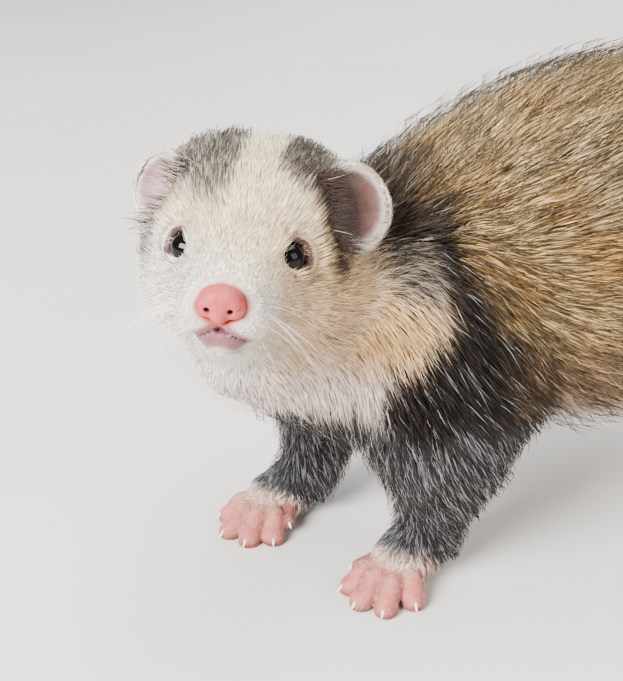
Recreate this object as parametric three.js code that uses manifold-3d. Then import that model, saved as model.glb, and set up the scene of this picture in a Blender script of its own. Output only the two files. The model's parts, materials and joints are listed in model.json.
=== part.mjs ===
import * as THREE from 'three';
import { mergeVertices } from 'three/addons/utils/BufferGeometryUtils.js';
import Module from 'manifold-3d';

// A ferret standing still, life size, in millimetres.
// It faces -Y with its head turned to its left (+X), and up is +Z.
// Every surface is the outline of the coat, out to the tips of the fur.

// Driving dimensions
const partGap = 0.3;
const chestDepth = 94; // with its fur
const headWidth = 49;
const eyeSpacing = 24.4;
const eyeRadius = 3.9;
const earHeight = 20.6;
const earBreadth = 19.6;
const tailLength = 128;
const stanceWidth = 39;
const legRadius = 10;
const forePaw = { width: 22, length: 21, reach: [16.2, 18.2, 17.8, 13.8], spread: [-36, -13, 10, 37] };
const hindPaw = { width: 21, length: 27, reach: [18.4, 21, 21, 18.4], spread: [-27, -9, 9, 27] };
const toeRadius = 2.7;
const clawLength = 4.6;
const soleDepth = 1.1; // how much of each pad is pressed flat on the floor

// Pose
const headTurn = 67; // degrees to its left
const headLift = -14.5;
const headTilt = 4;
const headPlace = [-2.4, -15.5, 88.6];

const wasm = await Module();
wasm.setup();

const radians = THREE.MathUtils.degToRad;
const lerp = THREE.MathUtils.lerp;
const vec = (place) => new THREE.Vector3(...place);
const mirrored = (place, side) => [place[0] * side, place[1], place[2]];
const smallest = 1e-6; // keeps a length from being zero where it divides

// Forms: each returns a function that gives the distance of a point from its surface,
// below zero inside it

// A round length that tapers between two points
function taper(from, to, fromRadius, toRadius) {
  const start = vec(from);
  const along = vec(to).sub(start);
  const lengthSq = along.lengthSq();
  const offset = new THREE.Vector3();
  return (p) => {
    offset.copy(p).sub(start);
    const t = THREE.MathUtils.clamp(offset.dot(along) / lengthSq, 0, 1);
    return offset.addScaledVector(along, -t).length() - lerp(fromRadius, toRadius, t);
  };
}

// An ellipsoid with its axes along the frame's
function egg(centre, radii) {
  const middle = vec(centre);
  const half = vec(radii);
  const outer = new THREE.Vector3();
  const inner = new THREE.Vector3();
  return (p) => {
    outer.copy(p).sub(middle).divide(half);
    inner.copy(outer).divide(half);
    const k = outer.length();
    return (k * (k - 1)) / Math.max(inner.length(), smallest);
  };
}

// Joins two distances with a fillet about `soft` wide
function join(a, b, soft) {
  const h = Math.max(soft - Math.abs(a - b), 0) / soft;
  return Math.min(a, b) - h * h * soft * 0.25;
}

// Joins several forms one after the other
const blend = (forms, soft) => (p) => forms.reduce((d, form) => join(d, form(p), soft), 1e3);

// A body length along a curved spine, each station having a place, a half width and a half height
function spineForm(stations, steps) {
  const line = new THREE.CatmullRomCurve3(stations.map((s) => vec(s.at)), false, 'centripetal');
  const spans = stations.map((s) => vec([s.wide, s.tall, 0]));
  const sizes = new THREE.CatmullRomCurve3(spans, false, 'centripetal');
  const rings = Array.from({ length: steps + 1 }, (_, i) => {
    const t = i / steps;
    const size = sizes.getPoint(t);
    return { at: line.getPoint(t), wide: size.x, tall: size.y };
  });
  const offset = new THREE.Vector3();
  const along = new THREE.Vector3();
  return (p) => {
    let nearest = 1e3;
    for (let i = 0; i < steps; i++) {
      const a = rings[i];
      const b = rings[i + 1];
      along.copy(b.at).sub(a.at);
      offset.copy(p).sub(a.at);
      const t = THREE.MathUtils.clamp(offset.dot(along) / along.lengthSq(), 0, 1);
      offset.addScaledVector(along, -t);
      const wide = lerp(a.wide, b.wide, t);
      const tall = lerp(a.tall, b.tall, t);
      const reach = Math.max(offset.length(), smallest);
      const upright = Math.abs(offset.z) / reach;
      const level = Math.sqrt(Math.max(1 - upright * upright, 0));
      const radius = (wide * tall) / Math.hypot(tall * level, wide * upright);
      nearest = Math.min(nearest, reach - radius);
    }
    return nearest;
  };
}

// Trunk, from the neck to the root of the tail
const trunkStations = [
  { at: [-20, -12, 76], wide: 19, tall: 20 }, // nape, inside the back of the head
  { at: [-20, 8, 65], wide: 21, tall: 25 }, // neck
  { at: [-11, 46, 75], wide: 36, tall: 38 }, // shoulders
  { at: [-4, 76, 79], wide: 45, tall: chestDepth / 2 }, // ribs
  { at: [0, 122, 84], wide: 44, tall: 47 }, // the top of the arch
  { at: [1, 172, 84], wide: 39, tall: 41 }, // loin
  { at: [0, 222, 76], wide: 38, tall: 38 }, // rump
  { at: [0, 262, 68], wide: 26, tall: 27 },
];
const spine = spineForm(trunkStations, 28);
const throat = taper([6, -18, 68], [-4, 2, 60], 16, 21);
const trunk = (p) => join(spine(p), throat(p), 12);

// Tail, a little below level and clear of the floor
const tailRoot = [0, 268, 69];
const tailStations = [
  { at: tailRoot, wide: 18, tall: 18 },
  { at: [1, 300, 63], wide: 15, tall: 15 },
  { at: [4, 335, 54], wide: 15.5, tall: 15.5 },
  { at: [9, 370, 46], wide: 12, tall: 12 },
  { at: [13, tailRoot[1] + tailLength - 4, 42], wide: 4.5, tall: 4.5 },
];
const tail = spineForm(tailStations, 14);

// Legs. side is +1 for its left and -1 for its right
const halfStance = stanceWidth / 2;
const foreMiddle = [-6, 6];
const forePaws = [
  { side: 1, name: 'left', forward: 12, turn: 44, wristBack: 8.5 },
  { side: -1, name: 'right', forward: -11, turn: 38, wristBack: 11 },
].map((paw) => ({
  ...paw,
  ...forePaw,
  at: [foreMiddle[0] + paw.side * halfStance, foreMiddle[1] + paw.forward, 0],
  thumb: [-9.5 * paw.side, -6.5, 4],
}));
const hindPaws = [
  { side: 1, name: 'left', at: [25, 236, 0], turn: 12 },
  { side: -1, name: 'right', at: [-25, 250, 0], turn: -10 },
].map((paw) => ({ ...paw, ...hindPaw }));

function foreleg(paw) {
  const [x, y] = paw.at;
  const wrist = [x - paw.side, y + paw.wristBack, 12];
  const elbow = [foreMiddle[0] + paw.side * 23, lerp(y, foreMiddle[1], 0.47) + 13.8, 43];
  const shoulder = [foreMiddle[0] + paw.side * 16, foreMiddle[1] + 22, 70];
  return blend([
    taper(wrist, elbow, legRadius - 1.3, legRadius + 7),
    taper(elbow, shoulder, legRadius + 7, 22),
  ], 8);
}

function hindleg(paw) {
  const [x, y] = paw.at;
  const hock = [x - paw.side, y + 33, 22];
  const knee = [x + 4 * paw.side, y - 8, 45];
  const hip = [paw.side * 19, y - 2, 72];
  return blend([
    taper([x, y + 6, 8], hock, legRadius - 2.5, legRadius - 1.8),
    taper(hock, knee, legRadius - 1.2, legRadius + 7),
    taper(knee, hip, legRadius + 8, 27),
  ], 9);
}

// A paw in its own frame, toes towards -Y, its sole at z = 0. Its toes run from the inner to the outer
function toeEnd(paw, index) {
  const angle = radians(paw.spread[index]) * paw.side;
  const forward = paw.reach[index];
  return [Math.sin(angle) * forward, -Math.cos(angle) * forward, toeRadius - soleDepth];
}

function pawForm(paw) {
  const palm = egg([0, 1, 5.2], [paw.width / 2 - 1.8, paw.length * 0.46, 6.4]);
  const toes = paw.reach.map((_, i) => {
    const end = toeEnd(paw, i);
    const root = [end[0] * 0.42, end[1] * 0.35, 5];
    return taper(root, end, toeRadius + 0.8, toeRadius);
  });
  if (paw.thumb) toes.push(taper([paw.side * -6, 0, 4.5], paw.thumb, toeRadius - 0.4, toeRadius - 0.8));
  return (p) => toes.reduce((d, toe) => join(d, toe(p), 1.6), palm(p));
}

function pawFrame(paw) {
  const frame = new THREE.Group();
  frame.position.set(...paw.at);
  frame.rotation.z = radians(paw.turn);
  frame.updateMatrixWorld();
  return frame;
}

// Head, in its own frame between the ears, facing -Y
const head = new THREE.Group();
head.position.set(...headPlace);
head.rotation.order = 'ZXY';
head.rotation.set(radians(headLift), radians(headTilt), radians(headTurn));
head.updateMatrixWorld();

const muzzleTip = [0, -38.5, -8.6];
const eyeAt = [eyeSpacing / 2, -25.6, 1.4]; // the middle of the lids
const eyeFacing = [0.72, -0.66, 0.2];
const skull = blend([
  egg([0, -1, 3.4], [headWidth / 2, 26, 22.4]),
  ...[1, -1].flatMap((side) => [
    egg([side * 10, 1, 9], [12, 17, 14.5]), // crown
    egg([side * 12.4, -9, -7.4], [11.2, 15, 13]), // cheek
  ]),
  taper([0, -14, 1], [0, -25, -4], 16, 12),
], 7);
const muzzle = blend([
  taper([0, -24, -6.5], muzzleTip, 10.5, 6.4),
  taper([0, -18, -11.5], [0, -35, -13.6], 9.5, 4.6),
  egg([4.6, -35.6, -10.4], [5.6, 7, 4.8]),
  egg([-4.6, -35.6, -10.4], [5.6, 7, 4.8]),
], 4);
const hollowAt = [eyeAt[0] + 2.2, eyeAt[1] - 2, eyeAt[2] + 0.6];
const eyeHollows = [1, -1].map((side) => egg(mirrored(hollowAt, side), [4.6, 4.6, 4.2]));

function headForm(p) {
  const face = join(skull(p), muzzle(p), 6);
  return eyeHollows.reduce((d, hollow) => -join(-d, hollow(p), 3), face);
}

// The ears, and the room that the coat of the neck leaves round the one on the inside of the turn
const ears = [
  { side: 1, name: 'ear_left', at: [21.4, -8.4, 11], turn: [-6, 8, 28] }, // degrees: back, outward, round
  { side: -1, name: 'ear_right', at: [-19.4, -10.4, 10.6], turn: [-6, -8, -38] },
];
const earSpace = egg([26.8, -3, 10.3], [12.5, 11, 13.5]);

// The whole coat outline in the ferret's frame
const formsInFrames = [
  { frame: head, form: headForm, soft: 7 },
  ...[...forePaws, ...hindPaws].map((paw) => ({ frame: pawFrame(paw), form: pawForm(paw), soft: 4 })),
];
formsInFrames.forEach((item) => { item.inverse = item.frame.matrixWorld.clone().invert(); });
const toHead = head.matrixWorld.clone().invert();
const legs = [...forePaws.map(foreleg), ...hindPaws.map(hindleg)];
const local = new THREE.Vector3();

function coat(p) {
  let d = trunk(p);
  for (const leg of legs) d = join(d, leg(p), 14);
  d = join(d, tail(p), 10);
  d = -join(-d, earSpace(local.copy(p).applyMatrix4(toHead)), 5);
  for (const item of formsInFrames) {
    d = join(d, item.form(local.copy(p).applyMatrix4(item.inverse)), item.soft);
  }
  return d;
}

// Surface nets: one point in each grid cell that the surface crosses, four to a face
function netMesh(field, low, high, cell, frame = null) {
  const size = [0, 1, 2].map((i) => Math.ceil((high[i] - low[i]) / cell[i]) + 1);
  const [nx, ny, nz] = size;
  const at = (i, j, k) => (k * ny + j) * nx + i;
  const place = new THREE.Vector3();
  const measure = (x, y, z) => {
    place.set(x, y, z);
    return field(frame ? place.applyMatrix4(frame.matrixWorld) : place);
  };
  const values = new Float32Array(nx * ny * nz);
  for (let k = 0; k < nz; k++) {
    for (let j = 0; j < ny; j++) {
      for (let i = 0; i < nx; i++) {
        const edge = i === 0 || j === 0 || k === 0 || i === nx - 1 || j === ny - 1 || k === nz - 1;
        const value = measure(low[0] + i * cell[0], low[1] + j * cell[1], low[2] + k * cell[2]);
        values[at(i, j, k)] = edge ? Math.max(value, cell[0] * 0.5) : value;
      }
    }
  }
  const corners = Array.from({ length: 8 }, (_, c) => [c & 1, (c >> 1) & 1, (c >> 2) & 1]);
  const edges = [];
  for (let a = 0; a < 8; a++) {
    for (let axis = 0; axis < 3; axis++) if (!(a & (1 << axis))) edges.push([a, a | (1 << axis)]);
  }
  const pointOf = new Int32Array(nx * ny * nz).fill(-1);
  const points = [];
  for (let k = 0; k < nz - 1; k++) {
    for (let j = 0; j < ny - 1; j++) {
      for (let i = 0; i < nx - 1; i++) {
        const v = corners.map(([a, b, c]) => values[at(i + a, j + b, k + c)]);
        const inside = v.filter((value) => value < 0).length;
        if (inside === 0 || inside === 8) continue;
        const sum = [0, 0, 0];
        let count = 0;
        for (const [a, b] of edges) {
          if (v[a] < 0 === v[b] < 0) continue;
          const t = v[a] / (v[a] - v[b]);
          for (let axis = 0; axis < 3; axis++) sum[axis] += lerp(corners[a][axis], corners[b][axis], t);
          count++;
        }
        pointOf[at(i, j, k)] = points.length;
        points.push([i, j, k].map((n, axis) => low[axis] + (n + sum[axis] / count) * cell[axis]));
      }
    }
  }
  const faces = [];
  const quad = (a, b, c, d, turned) => {
    if (turned) faces.push(a, b, c, a, c, d);
    else faces.push(a, c, b, a, d, c);
  };
  for (let k = 0; k < nz - 1; k++) {
    for (let j = 0; j < ny - 1; j++) {
      for (let i = 0; i < nx - 1; i++) {
        const here = values[at(i, j, k)] < 0;
        const q = (a, b, c) => pointOf[at(i - a, j - b, k - c)];
        const crossed = (other) => here !== values[other] < 0;
        if (j && k && crossed(at(i + 1, j, k))) quad(q(0, 1, 1), q(0, 0, 1), q(0, 0, 0), q(0, 1, 0), here);
        if (i && k && crossed(at(i, j + 1, k))) quad(q(1, 0, 1), q(1, 0, 0), q(0, 0, 0), q(0, 0, 1), here);
        if (i && j && crossed(at(i, j, k + 1))) quad(q(1, 1, 0), q(0, 1, 0), q(0, 0, 0), q(1, 0, 0), here);
      }
    }
  }
  const geometry = new THREE.BufferGeometry();
  geometry.setAttribute('position', new THREE.Float32BufferAttribute(points.flat(), 3));
  geometry.setIndex(faces);
  return geometry;
}

// Solids for joining and cutting
function solid(geometry) {
  const bare = geometry.clone();
  bare.deleteAttribute('normal');
  bare.deleteAttribute('uv');
  const merged = mergeVertices(bare, 1e-4);
  return new wasm.Manifold(new wasm.Mesh({
    numProp: 3,
    vertProperties: new Float32Array(merged.attributes.position.array),
    triVerts: new Uint32Array(merged.index.array),
  }));
}

function largest(body) {
  const pieces = body.decompose();
  return pieces.reduce((a, b) => (b.volume() > a.volume() ? b : a));
}

function toGeometry(body) {
  const { vertProperties, triVerts } = largest(body).getMesh();
  const geometry = new THREE.BufferGeometry();
  geometry.setAttribute('position', new THREE.BufferAttribute(new Float32Array(vertProperties), 3));
  geometry.setIndex(new THREE.BufferAttribute(new Uint32Array(triVerts), 1));
  geometry.computeVertexNormals();
  return geometry;
}

// Everything on one side of a cut, kept `clear` away from it
function sideOf(cut, clear) {
  const reach = 600;
  const toward = vec(cut.toward).normalize();
  const box = new THREE.BoxGeometry(reach, reach, reach);
  box.applyQuaternion(new THREE.Quaternion().setFromUnitVectors(new THREE.Vector3(0, 0, 1), toward));
  const centre = vec(cut.at).addScaledVector(toward, reach / 2 + clear);
  box.translate(centre.x, centre.y, centre.z);
  return solid(box);
}

const within = (cuts, clear) => cuts.map((cut) => sideOf(cut, clear)).reduce((a, b) => a.intersect(b));
const flip = (cut) => ({ at: cut.at, toward: cut.toward.map((n) => -n) });

const ferret = new THREE.Group();

function addPart(name, body, look, parent = ferret) {
  const mesh = new THREE.Mesh(toGeometry(body), new THREE.MeshStandardMaterial(look));
  mesh.name = name;
  parent.add(mesh);
  return mesh;
}

// Looks
const creamFur = { color: '#d9c9a6', roughness: 0.9 };
const whiteFur = { color: '#ece6dc', roughness: 0.9 };
const darkFur = { color: '#4a4749', roughness: 0.85 };
const pinkSkin = { color: '#e3a3a0', roughness: 0.6 };
const eyeGloss = { color: '#120c0a', roughness: 0.08 };

// Cuts that part the body
const headCut = { at: [0, 13, -13], toward: [0, -0.8, 0.6] }; // in the head's frame
const cheekCut = { at: [26, 6, 0], toward: [-1, -0.45, 0] }; // also, on the inside of its turn
const inFrame = (cut, frame) => ({
  at: vec(cut.at).applyMatrix4(frame).toArray(),
  toward: vec(cut.toward).transformDirection(frame).toArray(),
});
const chestCut = { at: [-7, 34, 75], toward: [0.1, -1, 0] };
const bellyCut = { at: [0, 104, 90], toward: [0, -1, 0] };
const rumpCut = { at: [0, 190, 85], toward: [0, -1, 0] };
const tailCut = { at: [0, 276, 72], toward: [0, -1, 0.15] };
const tailMidCut = { at: [1, 315, 62], toward: [0, -1, 0.2] };
const tailTipCut = { at: [6, 355, 52], toward: [-0.1, -1, 0.2] };

const headRegion = [headCut, cheekCut].map((cut) => inFrame(cut, head.matrixWorld));

// A leg is all that lies outside a leaning plane, and all below the belly on its own side
function legRegion(side, lean, front, back, bellyLevel, midline) {
  const ends = [
    { at: [0, front, 50], toward: [0, 1, 0] },
    { at: [0, back, 50], toward: [0, -1, -0.45] },
  ];
  const outer = { at: [midline + side * lean.from, 0, bellyLevel], toward: [side, 0, -lean.slope] };
  const under = [
    { at: [0, 0, bellyLevel], toward: [0, 0, -1] },
    { at: [midline + side * 1.5, 0, 0], toward: [side, 0, 0] },
  ];
  return (clear) => within([outer, ...ends], clear)
    .add(within([...under, ...ends], clear))
    .subtract(within(headRegion, -clear));
}

const foreRegion = (side) => legRegion(side, { from: 11, slope: 0.5 }, -60, 62, 38, foreMiddle[0]);
const hindRegion = (side) => legRegion(side, { from: 20, slope: 0.18 }, 194, 290, 36, 0);
const otherRoom = [1, -1].flatMap((side) => [foreRegion(side), hindRegion(side)])
  .map((region) => region(-partGap / 2))
  .reduce((a, b) => a.add(b), within(headRegion, -partGap / 2));
const floor = within([{ at: [0, 0, 0], toward: [0, 0, 1] }], 0);

// Trunk pieces
const neckCell = [7.5, 7.5, 7.5];
const trunkCell = [8.5, 13, 8.5];
const tailCell = [6, 9, 6];
const legCell = [6.5, 6.5, 7];
const pawCell = [3.1, 3.5, 3];
const headCell = [3.15, 3.15, 3.15];

function trunkPiece(name, cuts, look, box, cell) {
  const skin = solid(netMesh(coat, box.low, box.high, cell));
  addPart(name, skin.intersect(within(cuts, partGap / 2)).subtract(otherRoom), look);
}

// The room that each piece's mesh is worked out in, a little larger than the piece
const rooms = {
  neck: { low: [-60, -50, 20], high: [44, 60, 130] },
  chest: { low: [-62, -6, 4], high: [62, 126, 150] },
  loin: { low: [-62, 82, 4], high: [62, 214, 156] },
  rump: { low: [-58, 168, 3], high: [58, 302, 150] },
  tailBase: { low: [-32, 252, 26], high: [36, 335, 106] },
  tailMid: { low: [-30, 293, 22], high: [38, 377, 92] },
  tailTip: { low: [-24, 335, 18], high: [40, 417, 82] },
};
trunkPiece('neck', [chestCut], creamFur, rooms.neck, neckCell);
trunkPiece('chest', [flip(chestCut), bellyCut], darkFur, rooms.chest, trunkCell);
trunkPiece('loin', [flip(bellyCut), rumpCut], creamFur, rooms.loin, trunkCell);
trunkPiece('rump', [flip(rumpCut), tailCut], creamFur, rooms.rump, trunkCell);
trunkPiece('tail_base', [flip(tailCut), tailMidCut], darkFur, rooms.tailBase, tailCell);
trunkPiece('tail_mid', [flip(tailMidCut), tailTipCut], darkFur, rooms.tailMid, tailCell);
trunkPiece('tail_tip', [flip(tailTipCut)], darkFur, rooms.tailTip, tailCell);

// Legs and paws
const wristHeight = 13;
const elbowHeight = 36;

function addLeg(kind, paw, region, box, ankle) {
  const skin = solid(netMesh(coat, box.low, box.high, legCell));
  const room = skin.intersect(region(partGap / 2));
  const knee = { at: [0, paw.at[1], elbowHeight], toward: [0, -0.2, 1] };
  addPart(`${kind}_${paw.name}_upper`, room.intersect(sideOf(knee, partGap / 2)), darkFur);
  addPart(`${kind}_${paw.name}_lower`, room.intersect(within([flip(knee), ankle], partGap / 2)), darkFur);
}

// A curved claw in the paw's frame, at the end of a toe
function claw(end, size) {
  const shape = new THREE.ConeGeometry(size * 0.22, size, 6, 2);
  shape.translate(0, size * 0.4, 0);
  const place = shape.attributes.position;
  for (let i = 0; i < place.count; i++) {
    const along = Math.max(place.getY(i), 0) / size;
    place.setZ(i, place.getZ(i) - along * along * size * 0.28);
  }
  shape.rotateZ(Math.PI + Math.atan2(end[0], -end[1]));
  const lean = vec(end).setZ(0).normalize().multiplyScalar(toeRadius * 0.6);
  shape.translate(end[0] + lean.x, end[1] + lean.y, end[2] + soleDepth + 0.6);
  return solid(shape);
}

function addPaw(kind, paw, ankle) {
  const frame = pawFrame(paw);
  const low = [-paw.width, -paw.length * 0.9 - 8, -2];
  const high = [paw.width, paw.length * 1.1, 30];
  const skin = solid(netMesh(coat, low, high, pawCell, frame));
  const inverse = frame.matrixWorld.clone().invert();
  let body = skin.intersect(sideOf(flip(inFrame(ankle, inverse)), partGap / 2)).intersect(floor);
  const ends = paw.reach.map((_, i) => toeEnd(paw, i));
  if (paw.thumb) ends.push(paw.thumb);
  ends.forEach((end) => { body = body.add(claw(end, clawLength)); });
  addPart(`${kind}_${paw.name}`, body.intersect(floor), pinkSkin, frame);
  ferret.add(frame);
}

// Half the room for a leg's mesh, on its own side of the midline
function legRoom(side, midline, back, low, high) {
  const inner = midline + 8;
  return side > 0
    ? { low: [midline * 2 - inner, ...low], high: [60, back, high] }
    : { low: [-62, ...low], high: [inner, back, high] };
}

for (const paw of forePaws) {
  const [x, y] = paw.at;
  const ankle = { at: [x, y + 8, wristHeight], toward: [0, 0.5, 1] };
  const box = legRoom(paw.side, foreMiddle[0], 74, [y - 40, 2], 92);
  addLeg('foreleg', paw, foreRegion(paw.side), box, ankle);
  addPaw('forepaw', paw, ankle);
}
for (const paw of hindPaws) {
  const [x, y] = paw.at;
  const ankle = { at: [x, y + 14, wristHeight - 2], toward: [0, -0.25, 1] };
  const box = legRoom(paw.side, 0, 302, [186, -3], 118);
  addLeg('hindleg', paw, hindRegion(paw.side), box, ankle);
  addPaw('hindpaw', paw, ankle);
}

// Head
const headLow = [-40, -54, -46];
const headHigh = [44, 52, 38];
let face = solid(netMesh(coat, headLow, headHigh, headCell, head));
face = face.intersect(within([headCut, cheekCut], partGap / 2));

function ball(centre, radii, detail = 10) {
  const shape = new THREE.SphereGeometry(1, detail * 2, detail);
  shape.scale(...radii);
  shape.translate(...centre);
  return solid(shape);
}

// Lids, sockets and eyes
const lidRadius = 3.7;
const lidThickness = 2.4;
const lidSink = 0.5;
for (const side of [1, -1]) {
  const facing = vec(mirrored(eyeFacing, side)).normalize();
  const lidsAt = vec(mirrored(eyeAt, side));
  const place = lidsAt.clone().addScaledVector(facing, 0.4 - eyeRadius).toArray();
  const lids = new THREE.TorusGeometry(lidRadius, lidThickness / 2, 6, 18);
  lids.scale(1.08, 0.9, 1);
  lids.lookAt(facing);
  lids.translate(...lidsAt.clone().addScaledVector(facing, -lidSink).toArray());
  const socket = eyeRadius + partGap;
  face = face.add(solid(lids)).subtract(ball(place, [socket, socket, socket], 8));
  const name = side > 0 ? 'eye_left' : 'eye_right';
  addPart(name, ball(place, [eyeRadius, eyeRadius, eyeRadius], 8), eyeGloss, head);
}

// The line of the mouth, on the surface all round the muzzle
const mouthMiddle = new THREE.Vector3(0, -27, -13.2);
const mouthReach = 87.5; // degrees to each corner
const mouthWidth = 1.5;
const mouthPoints = [];
for (let degrees = -mouthReach; degrees <= mouthReach; degrees += 12.5) {
  const angle = radians(degrees);
  const outward = new THREE.Vector3(Math.sin(angle), -Math.cos(angle), 0);
  const point = mouthMiddle.clone();
  point.z += 1.5 * (degrees / mouthReach) ** 2;
  while (headForm(point) < 0) point.addScaledVector(outward, 0.1);
  mouthPoints.push(point);
}
const lipSection = new THREE.Shape();
lipSection.absarc(0, 0, mouthWidth / 2, 0, Math.PI * 2);
const mouthPath = { extrudePath: new THREE.CatmullRomCurve3(mouthPoints), steps: 18 };
const mouthCut = { ...mouthPath, curveSegments: 5, bevelEnabled: false };
face = face.subtract(solid(new THREE.ExtrudeGeometry(lipSection, mouthCut)));

// Nose pad with its nostrils and groove
const noseCentre = [0, -42.3, -7];
const noseRadii = [5, 3.6, 3.8];
let nose = ball(noseCentre, noseRadii, 8);
for (const side of [1, -1]) {
  nose = nose.subtract(ball([side * 2.5, -46.1, -7.6], [0.95, 2, 1], 5)); // nostril
}
const noseRoom = ball(noseCentre, noseRadii.map((radius) => radius + partGap), 8);
face = face.subtract(noseRoom);
addPart('nose', nose, pinkSkin, head);

// Ears: cups with their open side forward and out
const earWall = 1.7;
const earDepth = 6;
const nearCoat = (p) => coat(p) - partGap;
const earRoom = solid(netMesh(nearCoat, headLow, headHigh, headCell, head));
for (const ear of ears) {
  const outer = ball([0, 0, 0], [earBreadth / 2, earDepth, earHeight / 2], 8);
  const hollow = [earBreadth / 2 - earWall, earDepth, earHeight / 2 - earWall];
  const inner = ball([0, -1.9, 0.3], hollow, 8);
  const front = sideOf({ at: [0, -1.6, 0], toward: [0, 1, 0] }, 0);
  const geometry = toGeometry(outer.subtract(inner).intersect(front));
  geometry.rotateX(radians(ear.turn[0]));
  geometry.rotateY(radians(ear.turn[1]));
  geometry.rotateZ(radians(ear.turn[2]));
  geometry.translate(...ear.at);
  addPart(ear.name, solid(geometry).subtract(earRoom), pinkSkin, head);
}
addPart('head', face, whiteFur, head);
ferret.add(head);

// The origin is on the floor, at the middle of the ferret's box
ferret.updateMatrixWorld(true);
const box = new THREE.Box3().setFromObject(ferret, true);
const middle = box.getCenter(new THREE.Vector3());
ferret.position.set(-middle.x, -middle.y, -box.min.z);
ferret.updateMatrixWorld(true);

export default ferret;
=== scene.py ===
# A ferret standing still, its head turned to its left, life size.
# Shapes are worked out in millimetres in the frame's own axes, and meshes are made in metres.
import json
import math

import bpy
import numpy as np
import openvdb
from mathutils import Matrix, Vector
from mathutils.kdtree import KDTree

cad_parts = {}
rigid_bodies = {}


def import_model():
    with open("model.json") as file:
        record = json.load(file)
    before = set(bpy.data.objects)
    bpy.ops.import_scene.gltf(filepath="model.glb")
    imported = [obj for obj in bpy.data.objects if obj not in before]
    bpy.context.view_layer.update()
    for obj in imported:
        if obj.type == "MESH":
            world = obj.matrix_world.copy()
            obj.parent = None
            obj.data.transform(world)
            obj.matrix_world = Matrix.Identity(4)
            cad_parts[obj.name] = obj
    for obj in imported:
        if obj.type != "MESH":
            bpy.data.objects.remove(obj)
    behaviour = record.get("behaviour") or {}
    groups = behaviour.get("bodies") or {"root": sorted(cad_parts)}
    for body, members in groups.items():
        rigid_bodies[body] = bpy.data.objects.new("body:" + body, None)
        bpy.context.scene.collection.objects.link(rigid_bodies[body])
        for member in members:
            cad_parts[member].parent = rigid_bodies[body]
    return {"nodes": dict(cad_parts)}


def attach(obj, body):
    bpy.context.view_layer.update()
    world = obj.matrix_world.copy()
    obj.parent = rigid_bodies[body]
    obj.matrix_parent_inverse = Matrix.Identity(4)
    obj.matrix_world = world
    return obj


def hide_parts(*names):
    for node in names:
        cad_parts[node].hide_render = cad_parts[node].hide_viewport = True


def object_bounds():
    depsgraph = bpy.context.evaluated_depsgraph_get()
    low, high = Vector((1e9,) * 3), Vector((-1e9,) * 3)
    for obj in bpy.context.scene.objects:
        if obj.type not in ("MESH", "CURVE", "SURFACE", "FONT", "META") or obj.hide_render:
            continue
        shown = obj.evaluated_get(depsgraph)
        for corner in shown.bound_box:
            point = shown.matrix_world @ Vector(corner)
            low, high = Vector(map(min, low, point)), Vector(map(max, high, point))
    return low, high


for thing in list(bpy.data.objects):
    bpy.data.objects.remove(thing)
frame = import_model()
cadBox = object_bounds()
mm = 0.001


# Plain helpers on arrays of points

def unit(v):
    return v / np.maximum(np.linalg.norm(v, axis=-1, keepdims=True), 1e-9)


def dot(a, b):
    return (a * b).sum(-1)


def ramp(x, start, end):
    # 0 before start, 1 after end, smooth between
    t = np.clip((x - start) / (end - start), 0, 1)
    return t * t * (3 - 2 * t)


def mix(a, b, t):
    return a + (b - a) * t


def turn(axis, degrees):
    return np.array(Matrix.Rotation(math.radians(degrees), 3, axis))


def srgb(red, green, blue):
    # A colour as it looks on a screen, 0 to 255, turned to light
    c = np.array([red, green, blue]) / 255
    return np.where(c < 0.04045, c / 12.92, ((c + 0.055) / 1.055) ** 2.4)


# Forms give the distance of points from a shape, below zero inside it

def egg(p, centre, radii):
    offset = (p - np.array(centre)) / np.array(radii)
    k = np.linalg.norm(offset, axis=-1)
    return k * (k - 1) / np.maximum(np.linalg.norm(offset / np.array(radii), axis=-1), 1e-6)


def along(p, start, end):
    # How far along a straight line each point is, from 0 to 1, and its offset from the line
    start, line = np.array(start), np.array(end) - np.array(start)
    t = np.clip((p - start) @ line / (line @ line), 0, 1)
    return t, p - start - t[..., None] * line


def taper(p, start, end, startRadius, endRadius):
    t, offset = along(p, start, end)
    return np.linalg.norm(offset, axis=-1) - mix(startRadius, endRadius, t)


def join(a, b, soft):
    h = np.maximum(soft - np.abs(a - b), 0) / soft
    return np.minimum(a, b) - h * h * soft * 0.25


def carve(a, b, soft):
    return -join(-a, b, soft)


# Camera
cameraView = {
    "place": (0.24856, -0.25664, 0.1853),  # metres
    "lookDown": 25,  # degrees
    "lookTurn": 72,
    "focalPixels": 1200,
    "imageHeight": 681,
    "sensor": 36,
}
camera = bpy.data.objects.new("camera", bpy.data.cameras.new("camera"))
camera.location = cameraView["place"]
camera.rotation_euler = (
    math.radians(90 - cameraView["lookDown"]), 0, math.radians(cameraView["lookTurn"]))
camera.data.sensor_width = cameraView["sensor"]
camera.data.lens = cameraView["focalPixels"] / cameraView["imageHeight"] * cameraView["sensor"]
camera.data.clip_start = 0.01
bpy.context.collection.objects.link(camera)
bpy.context.scene.camera = camera

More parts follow.
